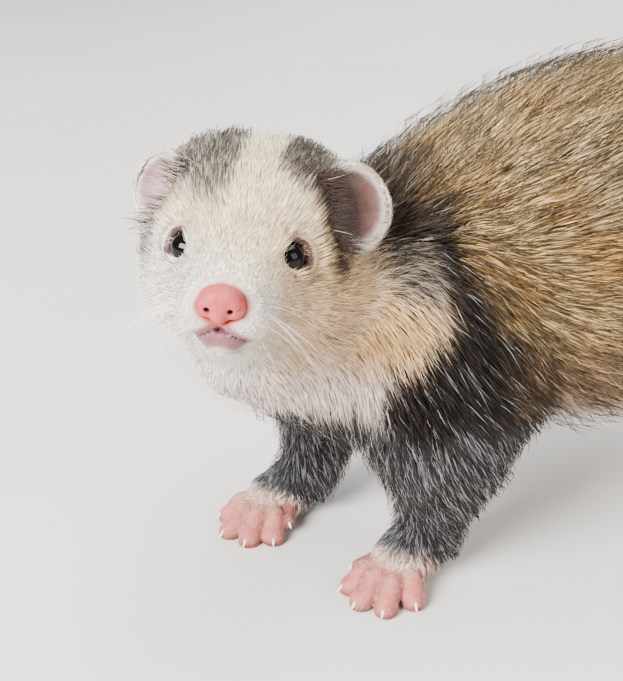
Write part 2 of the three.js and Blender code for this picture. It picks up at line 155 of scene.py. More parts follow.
# Where the animal's parts are, in mm and degrees: the same places as in the solids, which start
# between its forefeet
home = np.array([0.56, -174.04, 0])
pose = {
    "headPlace": (-2.4, -15.5, 88.6),
    "headTurn": 67,
    "headLift": -14.5,
    "headTilt": 4,
    "foreMiddle": (-6, 6),
    "stanceWidth": 39,
    "spine": [(-20, -12, 76), (-20, 8, 65), (-11, 46, 75), (-4, 76, 79), (0, 122, 84),
              (1, 172, 84), (0, 222, 76), (0, 262, 68)],
    "spineRadii": [19, 23, 37, 46, 45, 40, 38, 26],
    "tail": [(0, 268, 69), (1, 300, 63), (4, 335, 54), (9, 370, 46), (13, 392, 42)],
    "tailRadii": [18, 15, 15.5, 12, 4.5],
    "throat": [(6, -18, 68), (-4, 2, 60)],
    "belly": [(-3, 62, 50), (0, 214, 50)],
}


def spot(*place):
    # A place in the part's frame
    return home + np.array(place, float)


headPlace = spot(*pose["headPlace"])
headAxes = turn("Z", pose["headTurn"]) @ turn("X", pose["headLift"]) @ turn("Y", pose["headTilt"])
spine = [spot(*place) for place in pose["spine"]]
tail = [spot(*place) for place in pose["tail"]]


def toHead(p):
    return (p - headPlace) @ headAxes


def fromHead(q):
    return np.asarray(q, float) @ headAxes.T + headPlace


def side(place, sign):
    return np.array([place[0] * sign, place[1], place[2]], float)


# Legs: the places of the joints from the body down, and how each paw is turned and its toes stand
forePaw = {"width": 22, "length": 21, "reach": (16.2, 18.2, 17.8, 13.8), "spread": (-36, -13, 10, 37)}
hindPaw = {"width": 21, "length": 27, "reach": (18.4, 21, 21, 18.4), "spread": (-27, -9, 9, 27)}
middleX, middleY = pose["foreMiddle"]
legs = []
for sign, name, forward, pawTurn, wristBack in ((1, "left", 12, 44, 8.5), (-1, "right", -11, 38, 11)):
    x, y = middleX + sign * pose["stanceWidth"] / 2, middleY + forward
    elbow = spot(middleX + sign * 23, mix(y, middleY, 0.47) + 13.8, 43)
    joints = [spot(middleX + sign * 16, middleY + 22, 70), elbow, spot(x - sign, y + wristBack, 12)]
    legs.append({"name": "fore_" + name, "sign": sign, "paw": spot(x, y, 0), "turn": pawTurn, **forePaw,
                 "joints": joints, "radii": [22, 17, 8.7], "fore": True})
for sign, name, y, pawTurn in ((1, "left", 236, 12), (-1, "right", 250, -10)):
    x = 25 * sign
    joints = [spot(19 * sign, y - 2, 72), spot(x + 4 * sign, y - 8, 45), spot(x - sign, y + 33, 22),
              spot(x, y + 6, 8)]
    legs.append({"name": "hind_" + name, "sign": sign, "paw": spot(x, y, 0), "turn": pawTurn, **hindPaw,
                 "joints": joints, "radii": [27, 17, 8.8, 7.5], "fore": False})


def toPaw(p, leg):
    return (p - leg["paw"]) @ turn("Z", leg["turn"])


def fromPaw(q, leg):
    return np.asarray(q, float) @ turn("Z", leg["turn"]).T + leg["paw"]


# Meshes to and from arrays

def solidArrays(name):
    mesh = frame["nodes"][name].data
    mesh.calc_loop_triangles()
    points = np.empty(len(mesh.vertices) * 3, np.float32)
    mesh.vertices.foreach_get("co", points)
    faces = np.empty(len(mesh.loop_triangles) * 3, np.int32)
    mesh.loop_triangles.foreach_get("vertices", faces)
    return points.reshape(-1, 3) / mm, faces.reshape(-1, 3)


def makePiece(name, points, faces, material, colours=None, bakeMap=None, **attributes):
    # points in millimetres; colours, the map for baking and other attributes have a row for each point
    mesh = bpy.data.meshes.new(name)
    mesh.from_pydata(points * mm, [], faces, shade_flat=False)
    if colours is not None:
        layer = mesh.color_attributes.new("coatColour", "FLOAT_COLOR", "POINT")
        layer.data.foreach_set("color", np.pad(colours, ((0, 0), (0, 1)), constant_values=1).ravel())
    for key, values in attributes.items():
        kind, word = ("FLOAT", "value") if values.ndim == 1 else ("FLOAT_VECTOR", "vector")
        mesh.attributes.new(key, kind, "POINT").data.foreach_set(word, values.ravel())
    if bakeMap is not None:
        mesh.uv_layers.new(name="OFBake").data.foreach_set("uv", bakeMap[faces.ravel()].ravel())
    mesh.materials.append(material)
    piece = bpy.data.objects.new(name, mesh)
    bpy.context.collection.objects.link(piece)
    return piece


def ringFaces(rings, around):
    # Faces of a closed tube. Its points are the rings in order, then the start's and the end's.
    j = np.arange(around)
    k = (j + 1) % around
    a = np.arange(rings - 1)[:, None] * around
    walls = [(a + j, a + k, a + k + around), (a + j, a + k + around, a + j + around)]
    last, start = (rings - 1) * around, np.full(around, rings * around)
    caps = [(k, j, start), (last + j, last + k, start + 1)]
    return np.concatenate([np.stack(corners, -1).reshape(-1, 3) for corners in walls + caps])


def repeated(faces, count, each):
    # The same faces for many pieces that have this many points each
    return (faces + np.arange(count)[:, None, None] * each).reshape(-1, 3)


# Grids of distances

class Field:
    # Values on an even grid, read between its points
    def __init__(self, low, cell, values):
        self.low, self.cell, self.values = np.array(low, float), cell, values

    def at(self, points):
        place = (points - self.low) / self.cell
        limit = np.array(self.values.shape) - 1.001
        place = np.clip(place, 0, limit)
        base = place.astype(np.int64)
        part = place - base
        ny, nz = self.values.shape[1:]
        flat = self.values.ravel()
        start = (base[:, 0] * ny + base[:, 1]) * nz + base[:, 2]
        total = 0
        for i in (0, 1):
            for j in (0, 1):
                for k in (0, 1):
                    weight = (np.abs(1 - i - part[:, 0]) * np.abs(1 - j - part[:, 1])
                              * np.abs(1 - k - part[:, 2]))
                    total = total + weight * flat[start + (i * ny + j) * nz + k]
        return total

    def slope(self, points, reach):
        # The way the values rise fastest, from places this far off
        steps = np.eye(3) * reach
        return unit(np.stack([self.at(points + step) - self.at(points - step) for step in steps], -1))


def blur(values, sigma):
    # Gaussian smoothing along each axis, sigma in cells
    reach = int(math.ceil(sigma * 2.5))
    weights = np.exp(-0.5 * (np.arange(-reach, reach + 1) / sigma) ** 2)
    weights /= weights.sum()
    for axis in range(3):
        wide = np.pad(values, [(reach, reach) if a == axis else (0, 0) for a in range(3)], "edge")
        values = sum(w * np.take(wide, range(i, i + values.shape[axis]), axis)
                     for i, w in enumerate(weights)).astype(np.float32)
    return values


# How the skin is worked out from the solids, in mm
skinForm = {
    "cell": 1.3,  # of the even grid
    "detail": 2,  # times finer for the face and paws
    "adaptivity": 0.008,  # how much flatter parts are left coarser
    "margin": 14,  # round the solids
    "closeGap": 0.35,  # joins the solids over the thin gaps between them
    "solidBand": 4,  # how far distances are worked out from each solid, and from the outline
    "outerBand": 12,
    "innerBand": 15,
    "bodySoftness": 3.2,  # how far the outline is smoothed
    "headSoftness": 0.9,
    "worked": 11,  # how near the outline the skin is worked out
    "atOnce": 200000,  # points
    "outside": 5,  # the distance given to places far outside
}
fleshNodes = [name for name in frame["nodes"] if not name.startswith("eye")]
cell = skinForm["cell"]
lowCell = np.floor((np.array(cadBox[0]) / mm - skinForm["margin"]) / cell).astype(int)
highCell = np.ceil((np.array(cadBox[1]) / mm + skinForm["margin"]) / cell).astype(int)
gridShape = tuple(highCell - lowCell + 1)
gridLow = lowCell * cell
startCell = tuple(int(n) for n in lowCell)


def distances(points, outer, inner, **faces):
    # From a surface of triangles or quads, as far as these bands reach
    grid = openvdb.FloatGrid.createLevelSetFromPolygons(
        points.astype(np.float32), transform=openvdb.createLinearTransform(cell),
        exBandWidth=outer / cell, inBandWidth=inner / cell,
        **{kind: corners.astype(np.uint32) for kind, corners in faces.items()})
    values = np.empty(gridShape, np.float32)
    grid.copyToArray(values, ijk=startCell)
    return values


def outlineOfSolids():
    # The distance from the outline of the whole coat, with the gaps between the solids closed
    band = skinForm["solidBand"]
    union = np.full(gridShape, band, np.float32)
    for name in fleshNodes:
        if not name.startswith("ear") and name != "nose":
            points, faces = solidArrays(name)
            union = np.minimum(union, distances(points, band, band, triangles=faces))
    grid = openvdb.FloatGrid(band)
    grid.copyFromArray(union - skinForm["closeGap"], ijk=startCell)
    grid.transform = openvdb.createLinearTransform(cell)
    points, quads = grid.convertToQuads(0)
    return distances(points, skinForm["outerBand"], skinForm["innerBand"], quads=quads)


print("outline of the solids")
outline = outlineOfSolids()
softOutline = blur(outline, skinForm["bodySoftness"] / cell)
firmOutline = blur(outline, skinForm["headSoftness"] / cell)
print("grid", gridShape)


# Regions of the body: each has a rough form, the depth of its coat over the skin,
# and the length, width and number of its tufts
noseRoot = np.array((0, -47, -9.5))  # in the head's frame; the fur of the face lies away from it


def awayFromNose(p):
    return unit(p - fromHead(noseRoot))


def awayFromEarRoot(ear):
    root = np.array(ear) * (0.5, 1, 0.35)
    return lambda p: unit(p - fromHead(root))


def backAndDown(p):
    # Along the trunk, turning down a little towards the belly
    low = ramp(p[:, 2], 96, 40)
    return unit(np.stack([np.zeros(len(p)), np.ones(len(p)), 0.1 - 0.5 * low], -1))


def steady(*direction):
    way = unit(np.array(direction, float))
    return lambda p: np.tile(way, (len(p), 1))


regions = []


def addRegion(form, depth, length, width, tufts, guards, lie, kind):
    regions.append({"form": form, "depth": depth, "length": length, "width": width,
                    "tufts": tufts, "guards": guards, "lie": lie, "kind": kind})


def headEgg(centre, radii):
    return lambda p: egg(toHead(p), centre, radii)


def headTaper(start, end, startRadius, endRadius):
    return lambda p: taper(toHead(p), start, end, startRadius, endRadius)


def lengthOf(start, end, startRadius, endRadius):
    return lambda p: taper(p, start, end, startRadius, endRadius)


# depth, length and width in mm, tufts and longer guard hairs to each square mm
addRegion(headTaper((0, -29, -7), (0, -41, -8.5), 8, 5.5), 0.5, 3.2, 0.14, 24, 0, awayFromNose, "face")
addRegion(headEgg((0, -18, 0), (20, 13, 17)), 1.3, 7.5, 0.17, 13, 1.2, awayFromNose, "face")
addRegion(headEgg((0, 1, 8), (24, 22, 18)), 2.4, 8, 0.24, 8, 1.8, awayFromNose, "head")
for sign in (1, -1):
    addRegion(headEgg((14 * sign, -6, -9), (12, 15, 13)), 2.7, 8.5, 0.26, 8, 1.6, awayFromNose, "head")
addRegion(headEgg((0, -41.5, -12.5), (5, 3.5, 4)), 0.25, 1.1, 0.11, 26, 0, awayFromNose, "face")
for ear in ((21.4, -7.5, 12), (-19.4, -9.5, 11.5)):
    addRegion(headEgg(ear, (9.5, 6.5, 10)), 0.4, 2.4, 0.15, 17, 0, awayFromEarRoot(ear), "ear")
addRegion(headTaper((0, -36, -15), (0, -16, -20), 4, 9), 1.1, 4.2, 0.18, 12, 0.4, awayFromNose, "face")
addRegion(lengthOf(spine[0], spine[1], 19, 21), 4.6, 12, 0.32, 3, 0.5, steady(-0.25, 1, -0.2), "neck")
throat = [spot(*place) for place in pose["throat"]]
addRegion(lengthOf(*throat, 15, 19), 4.2, 12, 0.32, 3.4, 0.6, steady(-0.3, 0.45, -0.9), "neck")
addRegion(lengthOf(spine[2], spine[3], 34, 44), 6, 11, 0.34, 2.8, 0.6, backAndDown, "body")
for i in (3, 4, 5):
    sizes = pose["spineRadii"]
    form = lengthOf(spine[i], spine[i + 1], sizes[i], sizes[i + 1])
    addRegion(form, 7, 13, 0.4, 1.6, 0.45 if i == 3 else 0.35, backAndDown, "body")
belly = [spot(*place) for place in pose["belly"]]
addRegion(lengthOf(*belly, 12, 12), 3.6, 12, 0.42, 1.1, 0.15, steady(0, 1, -0.3), "body")
addRegion(lengthOf(spine[6], spine[7], 37, 27), 6.5, 17, 0.44, 1.15, 0.28, backAndDown, "body")
for i, depth in enumerate((5.6, 5, 4.6, 3)):
    way = steady(*(tail[i + 1] - tail[i]))
    radii = pose["tailRadii"]
    form = lengthOf(tail[i], tail[i + 1], radii[i], radii[i + 1])
    addRegion(form, depth, 17, 0.4, 1.4, 0.4, way, "tail")
for leg in legs:
    joints, radii = leg["joints"], leg["radii"]
    share = 1 if leg["fore"] else 0.6
    sizes = [(5, 10.5, 0.3, 2.6, 1.2), (2.6, 6.5, 0.25, 4.4, 1.9), (1.3, 4.5, 0.22, 6, 1.2)]
    for i in range(len(joints) - 1):
        depth, length, width, tufts, guards = sizes[i]
        way = unit(joints[i + 1] - joints[i])
        way = steady(way[0], way[1] + (0.75, 0.5, 0.3)[i], way[2])
        form = lengthOf(joints[i], joints[i + 1], radii[i], radii[i + 1])
        width = width / share ** 0.5
        addRegion(form, depth, length, width, tufts * share, guards * share, way, leg["name"])
    reach = leg["length"] * 0.42
    way = fromPaw((0, -1, -0.3), leg) - leg["paw"]
    form = lengthOf(fromPaw((0, 4, 5), leg), fromPaw((0, -reach, 3.5), leg), 7, 7)
    addRegion(form, 0.35, 2.2, 0.15, 11 * share, 0, steady(*way), leg["name"])


def regionWeights(p, soft=3.5):
    weights = np.stack([np.exp(-np.maximum(region["form"](p), -4) / soft) for region in regions])
    return weights / np.maximum(weights.sum(0), 1e-12)


def regionMean(weights, key):
    return sum(w * region[key] for w, region in zip(weights, regions))


# The skin: the outline let in by the depth of the coat, with the face and paws worked finer
print("depth of the coat")
near = np.abs(outline) < skinForm["worked"]
spots = np.argwhere(near) * cell + gridLow
spotDepths = np.empty(len(spots), np.float32)
for start in range(0, len(spots), skinForm["atOnce"]):
    part = slice(start, start + skinForm["atOnce"])
    spotDepths[part] = regionMean(regionWeights(spots[part]), "depth")
headness = ramp(egg(toHead(spots), (0, -9, -2), (33, 38, 32)), 9, -2)
pawness = ramp(spots[:, 2], 20, 12)
firm = np.maximum(headness, pawness)
skinGrid = softOutline + skinForm["outside"]
skinGrid[near] = mix(softOutline[near], firmOutline[near], firm) + spotDepths


def finer(values):
    for axis in range(3):
        rows = np.moveaxis(values, axis, 0)
        wide = np.empty((rows.shape[0] * 2 - 1,) + rows.shape[1:], np.float32)
        wide[::2] = rows
        wide[1::2] = (rows[1:] + rows[:-1]) / 2
        values = np.moveaxis(wide, 0, axis)
    return np.ascontiguousarray(values)


fineCell = cell / skinForm["detail"]
fineGrid = finer(skinGrid)


def workBox(corners, shape):
    # Reworks the part of the fine grid that holds these corners: shape(points, distances)
    corners = np.asarray(corners)
    low = np.floor((corners.min(0) - gridLow) / fineCell).astype(int)
    high = np.ceil((corners.max(0) - gridLow) / fineCell).astype(int) + 1
    low, high = np.maximum(low, 0), np.minimum(high, fineGrid.shape)
    box = tuple(slice(a, b) for a, b in zip(low, high))
    axes = [gridLow[i] + fineCell * np.arange(low[i], high[i]) for i in range(3)]
    points = np.stack(np.meshgrid(*axes, indexing="ij"), -1)
    size = points.shape[:3]
    fineGrid[box] = shape(points.reshape(-1, 3), fineGrid[box].ravel()).reshape(size)


faceForm = {
    "eyeAt": (12.2, -25.6, 1.4),  # the middle of the lids
    "eyeFacing": (0.72, -0.66, 0.2),
    "eyeRadius": 4.2,
    "eyeSunk": 3.1,  # from the lids to the middle of the eyeball
    "lidRing": 4.3,
    "lidThick": 0.85,
    "lidSink": 0.45,
    "lidWide": 1.22,
    "lidTall": 0.88,
    "cornerReach": 3.6,
    "noseCentre": (0, -42.3, -7.0),
    "noseRadii": (5.0, 3.6, 3.8),
    "mouthHeight": -12.5,
    "mouthEnd": -21,
    "lipGroove": 0.28,
    "earAt": {1: (21.4, -8.4, 11), -1: (-19.4, -10.4, 10.6)},
    "earTurn": {1: (-6, 8, 28), -1: (-6, -8, -38)},
    "earSize": {1: 1, -1: 0.91},
    "earOuter": (9.6, 6, 10.1),
    "earWall": 1.9,
    "earLow": {1: 0, -1: 1.6},  # how much less deep the hollow goes
    "earFront": -1.7,
}
eyeFacing = unit(np.array(faceForm["eyeFacing"]))


def eyeFrame(sign):
    # Columns: across towards the outer corner, up, and out of the eye
    out = side(eyeFacing, sign)
    across = unit(np.cross(np.array([0, 0, 1.0]), out)) * sign
    return np.stack([across, np.cross(out, across) * sign, out], -1)


def toEye(q, sign):
    return (q - side(faceForm["eyeAt"], sign)) @ eyeFrame(sign)


def earFrame(sign):
    back, outward, about = faceForm["earTurn"][sign]
    return turn("Z", about) @ turn("Y", outward) @ turn("X", back)


def toEar(q, sign):
    return (q - np.array(faceForm["earAt"][sign])) @ earFrame(sign) / faceForm["earSize"][sign]


def mouthLine(q):
    # Height of the line of the mouth: a low peak under the nose, drooping, then up to the corners
    droop = 2 * ramp(np.abs(q[:, 0]), 0.3, 5.5)
    return faceForm["mouthHeight"] - droop + 3.2 * ramp(q[:, 1], -35, -20)


def earHollow(w, sign):
    # The open inside of an ear, which runs on into the fur at its inner side
    wide, thick, tall = faceForm["earOuter"]
    wall, low = faceForm["earWall"], faceForm["earLow"][sign]
    radii = (wide - wall, thick - 0.6, tall - wall - low)
    return np.minimum(egg(w, (0, -2.6, 0.2 + low), radii), egg(w, (-0.9 * sign, -2.6, -0.6 + low), radii))


def earCup(q, sign):
    # The cup of one ear: an open shell, its edge rounded
    p = toEar(q, sign)
    outer = egg(p, (0, 0, 0), faceForm["earOuter"])
    shell = carve(outer, earHollow(p, sign), 1.0)
    front = faceForm["earFront"] - p[:, 1] + 0.02 * p[:, 2] ** 2 * (p[:, 2] < 0)
    return -join(-shell, -front, 1.8)


def workFace(points, d):
    q = toHead(points)
    _, qy, qz = q.T
    # Lips and the pads that carry the whiskers
    for sign in (1, -1):
        d = join(d, egg(q, (3.9 * sign, -36.6, -10.6), (4.6, 6.2, 3.3)), 2.2)
    d = join(d, taper(q, (0, -22, -15.4), (0, -36.8, -15.3), 7.2, 3.1), 2.5)
    groove = np.maximum(np.abs(qz - mouthLine(q)) - faceForm["lipGroove"], -d - 1.5)
    groove = np.maximum(groove, qy - faceForm["mouthEnd"])
    d = carve(d, groove, 0.7)
    d = carve(d, taper(q, (0, -45, -10.2), (0, -41.6, -12.4), 0.5, 0.6), 0.8)  # under the nose
    # A bed for the pad of the nose
    d = carve(d, egg(q, faceForm["noseCentre"], np.array(faceForm["noseRadii"]) - 0.35), 0.6)
    for sign in (1, -1):
        e = toEye(q, sign)
        ex, ey, ez = e.T
        ring = np.hypot(ex / faceForm["lidWide"], ey / faceForm["lidTall"])
        lids = np.hypot(ring - faceForm["lidRing"], ez + faceForm["lidSink"]) - faceForm["lidThick"]
        d = join(d, lids, 1.6)
        ball = np.linalg.norm(e + [0, 0, faceForm["eyeSunk"]], axis=-1) - faceForm["eyeRadius"]
        d = carve(d, ball - 0.1, 0.35)
        # The pink inner corner runs a little way towards the nose
        corner = taper(e, (-2.0, -0.5, 0.3), (-faceForm["cornerReach"], -1.1, -0.2), 1.0, 0.45)
        d = carve(d, corner, 0.6)
        d = join(d, earCup(q, sign), 1.6)
        d = carve(d, earHollow(toEar(q, sign), sign), 1.0)
    return d


headCorners = fromHead([(x, y, z) for x in (-37, 37) for y in (-52, 16) for z in (-32, 30)])
workBox(headCorners, workFace)

pawForm = {
    "toeRadius": 3.0,
    "soleDepth": 1.5,
    "web": 1.0,
    "draw": 0.92,  # of the reach
    "thumb": (-9.5, -6.5, 4),  # of a left paw
}


def toeEnd(index, leg):
    angle = math.radians(leg["spread"][index]) * leg["sign"]
    forward = leg["reach"][index] * pawForm["draw"]
    height = pawForm["toeRadius"] - pawForm["soleDepth"] + 0.15
    return np.array([math.sin(angle) * forward, -math.cos(angle) * forward, height])


def workPaw(leg):
    def shape(points, d):
        q = toPaw(points, leg)
        half = leg["width"] / 2
        radius = pawForm["toeRadius"]
        palm = egg(q, (0, 1, 4.6), (half - 3.2, leg["length"] * 0.42, 5.2))
        for i in range(4):
            end = toeEnd(i, leg)
            root = np.array([end[0] * 0.4, end[1] * 0.3, 4.6])
            knuckle = mix(root, end, 0.55) + [0, 0, 1.6]
            toe = join(taper(q, root, knuckle, radius + 0.2, radius - 0.35),
                       taper(q, knuckle, end, radius - 0.35, radius - 0.25), 1.5)
            toe = join(toe, egg(q, end + [0, 0.3, -0.4], (2.8, 3.3, 2.1)), 0.8)
            palm = join(palm, toe, pawForm["web"])
        if leg["fore"]:  # the short inner toe
            thumb = side(pawForm["thumb"], leg["sign"])
            palm = join(palm, taper(q, (-5.5 * leg["sign"], 0.5, 4.4), thumb, 2.2, 1.75), 1.0)
        palm = join(palm, egg(q, (0, -leg["length"] * 0.26, 1.6), (5.6, 4.2, 2.6)), 1.2)  # main pad
        ahead = ramp(q[:, 1], 7, -1)
        d = join(d + 1.6 * ramp(points[:, 2], 13, 8) * ahead, palm, 1.8)
        return np.maximum(d, 0.02 - points[:, 2])
    reach = leg["length"] + 6
    workBox(fromPaw([(x, y, z) for x in (-15, 15) for y in (-reach, 18) for z in (-1, 16)], leg), shape)


for leg in legs:
    workPaw(leg)
skinField = Field(gridLow, fineCell, fineGrid)


# Finishes

def plug(tree, socket, value):
    if isinstance(value, Term):
        tree.links.new(value.socket, socket)
    else:
        socket.default_value = (*value, 1) if socket.type == "RGBA" else value


class Term:
    # A value in a material's nodes, so that shader maths reads as plain expressions
    def __init__(self, tree, socket):
        self.tree, self.socket = tree, socket

    def node(self, kind, settings, inputs, output=0):
        # Any other node: its own settings, and its inputs by name or place
        made = self.tree.nodes.new(kind)
        for key, value in settings.items():
            setattr(made, key, value)
        for key, value in inputs.items():
            plug(self.tree, made.inputs[key], value)
        return Term(self.tree, made.outputs[output])

    def maths(self, operation, first, second):
        return self.node("ShaderNodeMath", {"operation": operation}, {0: first, 1: second})

    def __add__(self, other):
        return self.maths("ADD", self, other)

    def __sub__(self, other):
        return self.maths("SUBTRACT", self, other)

    def __rsub__(self, other):
        return self.maths("SUBTRACT", other, self)

    def __mul__(self, other):
        return self.maths("MULTIPLY", self, other)

    __radd__, __rmul__ = __add__, __mul__

    def over(self, start, end):
        # 0 at start, 1 at end, smooth between
        return self.node("ShaderNodeMapRange", {"interpolation_type": "SMOOTHSTEP"},
                         {"Value": self, "From Min": start, "From Max": end})

    def colours(self, *stops):
        # A colour for each place from 0 to 1
        made = self.node("ShaderNodeValToRGB", {}, {"Fac": self})
        elements = made.socket.node.color_ramp.elements
        while len(elements) < len(stops):
            elements.new(0.5)
        for element, (place, colour) in zip(elements, stops):
            element.position, element.color = place, (*colour, 1)
        return made

    def blend(self, way, colour, amount):
        settings = {"data_type": "RGBA", "blend_type": way}
        return self.node("ShaderNodeMix", settings, {0: amount, 6: self, 7: colour}, 2)

    def toward(self, colour, amount):
        return self.blend("MIX", colour, amount)

    def times(self, colour, amount=1.0):
        return self.blend("MULTIPLY", colour, amount)


class Finish:
    # A material with its shader, and short ways to the patterns that feed it
    def __init__(self, name, **fixed):
        self.material = bpy.data.materials.new(name)
        self.material.use_nodes = True
        tree = self.material.node_tree
        self.shader = tree.nodes["Principled BSDF"]
        self.place = Term(tree, tree.nodes.new("ShaderNodeTexCoord").outputs["Object"])
        for key, value in fixed.items():
            self.shader.inputs[key.replace("_", " ")].default_value = value

    def attribute(self, name, output="Fac"):
        return self.place.node("ShaderNodeAttribute", {"attribute_name": name}, {}, output)

    def noise(self, scale, detail, place=None, roughness=0.5):
        inputs = {"Vector": place or self.place, "Scale": scale, "Detail": detail, "Roughness": roughness}
        return self.place.node("ShaderNodeTexNoise", {}, inputs, "Fac")

    def cells(self, scale):
        inputs = {"Vector": self.place, "Scale": scale}
        return self.place.node("ShaderNodeTexVoronoi", {}, inputs, "Distance")

    def feed(self, name, value):
        plug(self.place.tree, self.shader.inputs[name], value)

    def bump(self, height, strength, distance):
        inputs = {"Height": height, "Strength": strength, "Distance": distance}
        self.feed("Normal", self.place.node("ShaderNodeBump", {}, inputs, "Normal"))


def furFinish():
    fur = Finish("fur", Specular_IOR_Level=0.14)
    shade = fur.noise(900, 2).over(0.25, 0.75) * 0.16 + 0.9
    fur.feed("Base Color", fur.attribute("coatColour", "Color").times(shade))
    fur.feed("Roughness", fur.noise(300, 2) * 0.2 + 0.58)
    fur.bump(fur.noise(2500, 2), 0.25, 0.0001)
    return fur.material


def skinFinish():
    skin = Finish("skinUnderFur", Specular_IOR_Level=0.3, Subsurface_Weight=0.08, Subsurface_Scale=0.002,
                  Subsurface_Radius=(1.0, 0.4, 0.3))
    bare = skin.attribute("bare")
    grain = skin.attribute("grain", "Vector")
    strands = skin.noise(1.0, 3, grain, 0.6)
    pores = skin.cells(1500) * 0.6 + skin.noise(600, 3) * 0.6
    mottle = skin.noise(320, 4).over(0.35, 0.7)
    tint = skin.attribute("coatColour", "Color")
    furry = tint.times(strands.over(0.25, 0.75) * 0.5 + 0.62)
    flesh = tint.times(srgb(236, 200, 196), mottle)
    skin.feed("Base Color", furry.toward(flesh, bare))
    skin.feed("Roughness", 0.75 - bare * 0.3 + mottle * 0.08)
    skin.bump(strands * (1 - bare) + pores * bare * 0.5, 0.55, 0.0004)
    return skin.material


skinMaterial = skinFinish()
furMaterial = furFinish()

# Colours of the coat, as they look on a screen
tones = {
    "white": (247, 239, 232), "cream": (255, 233, 196), "tan": (222, 184, 132),
    "gold": (202, 158, 98), "straw": (216, 183, 130), "olive": (214, 194, 158), "shadedFawn": (158, 131, 106),
    "belly": (206, 192, 182), "bib": (233, 217, 210), "cuff": (238, 214, 198),
    "dark": (43, 37, 36), "slate": (78, 78, 84), "silver": (182, 180, 184), "ash": (150, 136, 120),
    "brown": (62, 51, 42), "mantle": (112, 96, 76), "umber": (70, 58, 46), "patch": (200, 188, 174),
    "pink": (170, 76, 66), "rose": (128, 48, 46), "mauve": (126, 84, 94),
    # Inside its left ear: pink skin darkened with painted shade, and a dark red for painted shade deep in
    # the cup
    "earPink": (116, 64, 50), "earLilac": (158, 122, 130), "earPaintedShade": (34, 18, 16), "rim": (66, 46, 46),
}
tones = {name: srgb(*value) for name, value in tones.items()}

waves = np.random.default_rng(5)
waveWays = unit(waves.normal(size=(24, 3)))
wavePhases = waves.uniform(0, 2 * math.pi, 24)


def wobble(p, size, seed=0):
    # A smooth unsteady value from about -1 to 1; size is the length of its waves in mm
    use = [(i + seed * 5) % 24 for i in range(9)]
    total = sum(np.sin(p @ waveWays[i] * (2 * math.pi / size) * (0.7 + 0.09 * n) + wavePhases[i])
                for n, i in enumerate(use))
    return total / 4


markingLook = {
    # heights and lengths in mm, in the frame that starts between the forefeet
    "darkShare": 0.78,  # of the guard hairs over the body
    "mantleFront": (7, 22),  # where the dark mantle starts, low down and higher up
    "mantleBack": (39, 28.5),  # and where it ends
    "bibFoot": (45, 51),
    "tailFrom": (266, 286),
    "cuff": (11, 7.5),
    # dark patches by the crown: inner edge, front edge, where that turns back, and how many hairs are dark
    "patches": {1: (7.4, -19.5, 12, 0.93), -1: (2.8, -26.5, 7, 0.82)},
    "flecks": (((17.3, -22.7, -3.4), 1.5), ((22.5, -17.5, -6.5), 1.1), ((29, -12.5, -10), 1.5)),
}


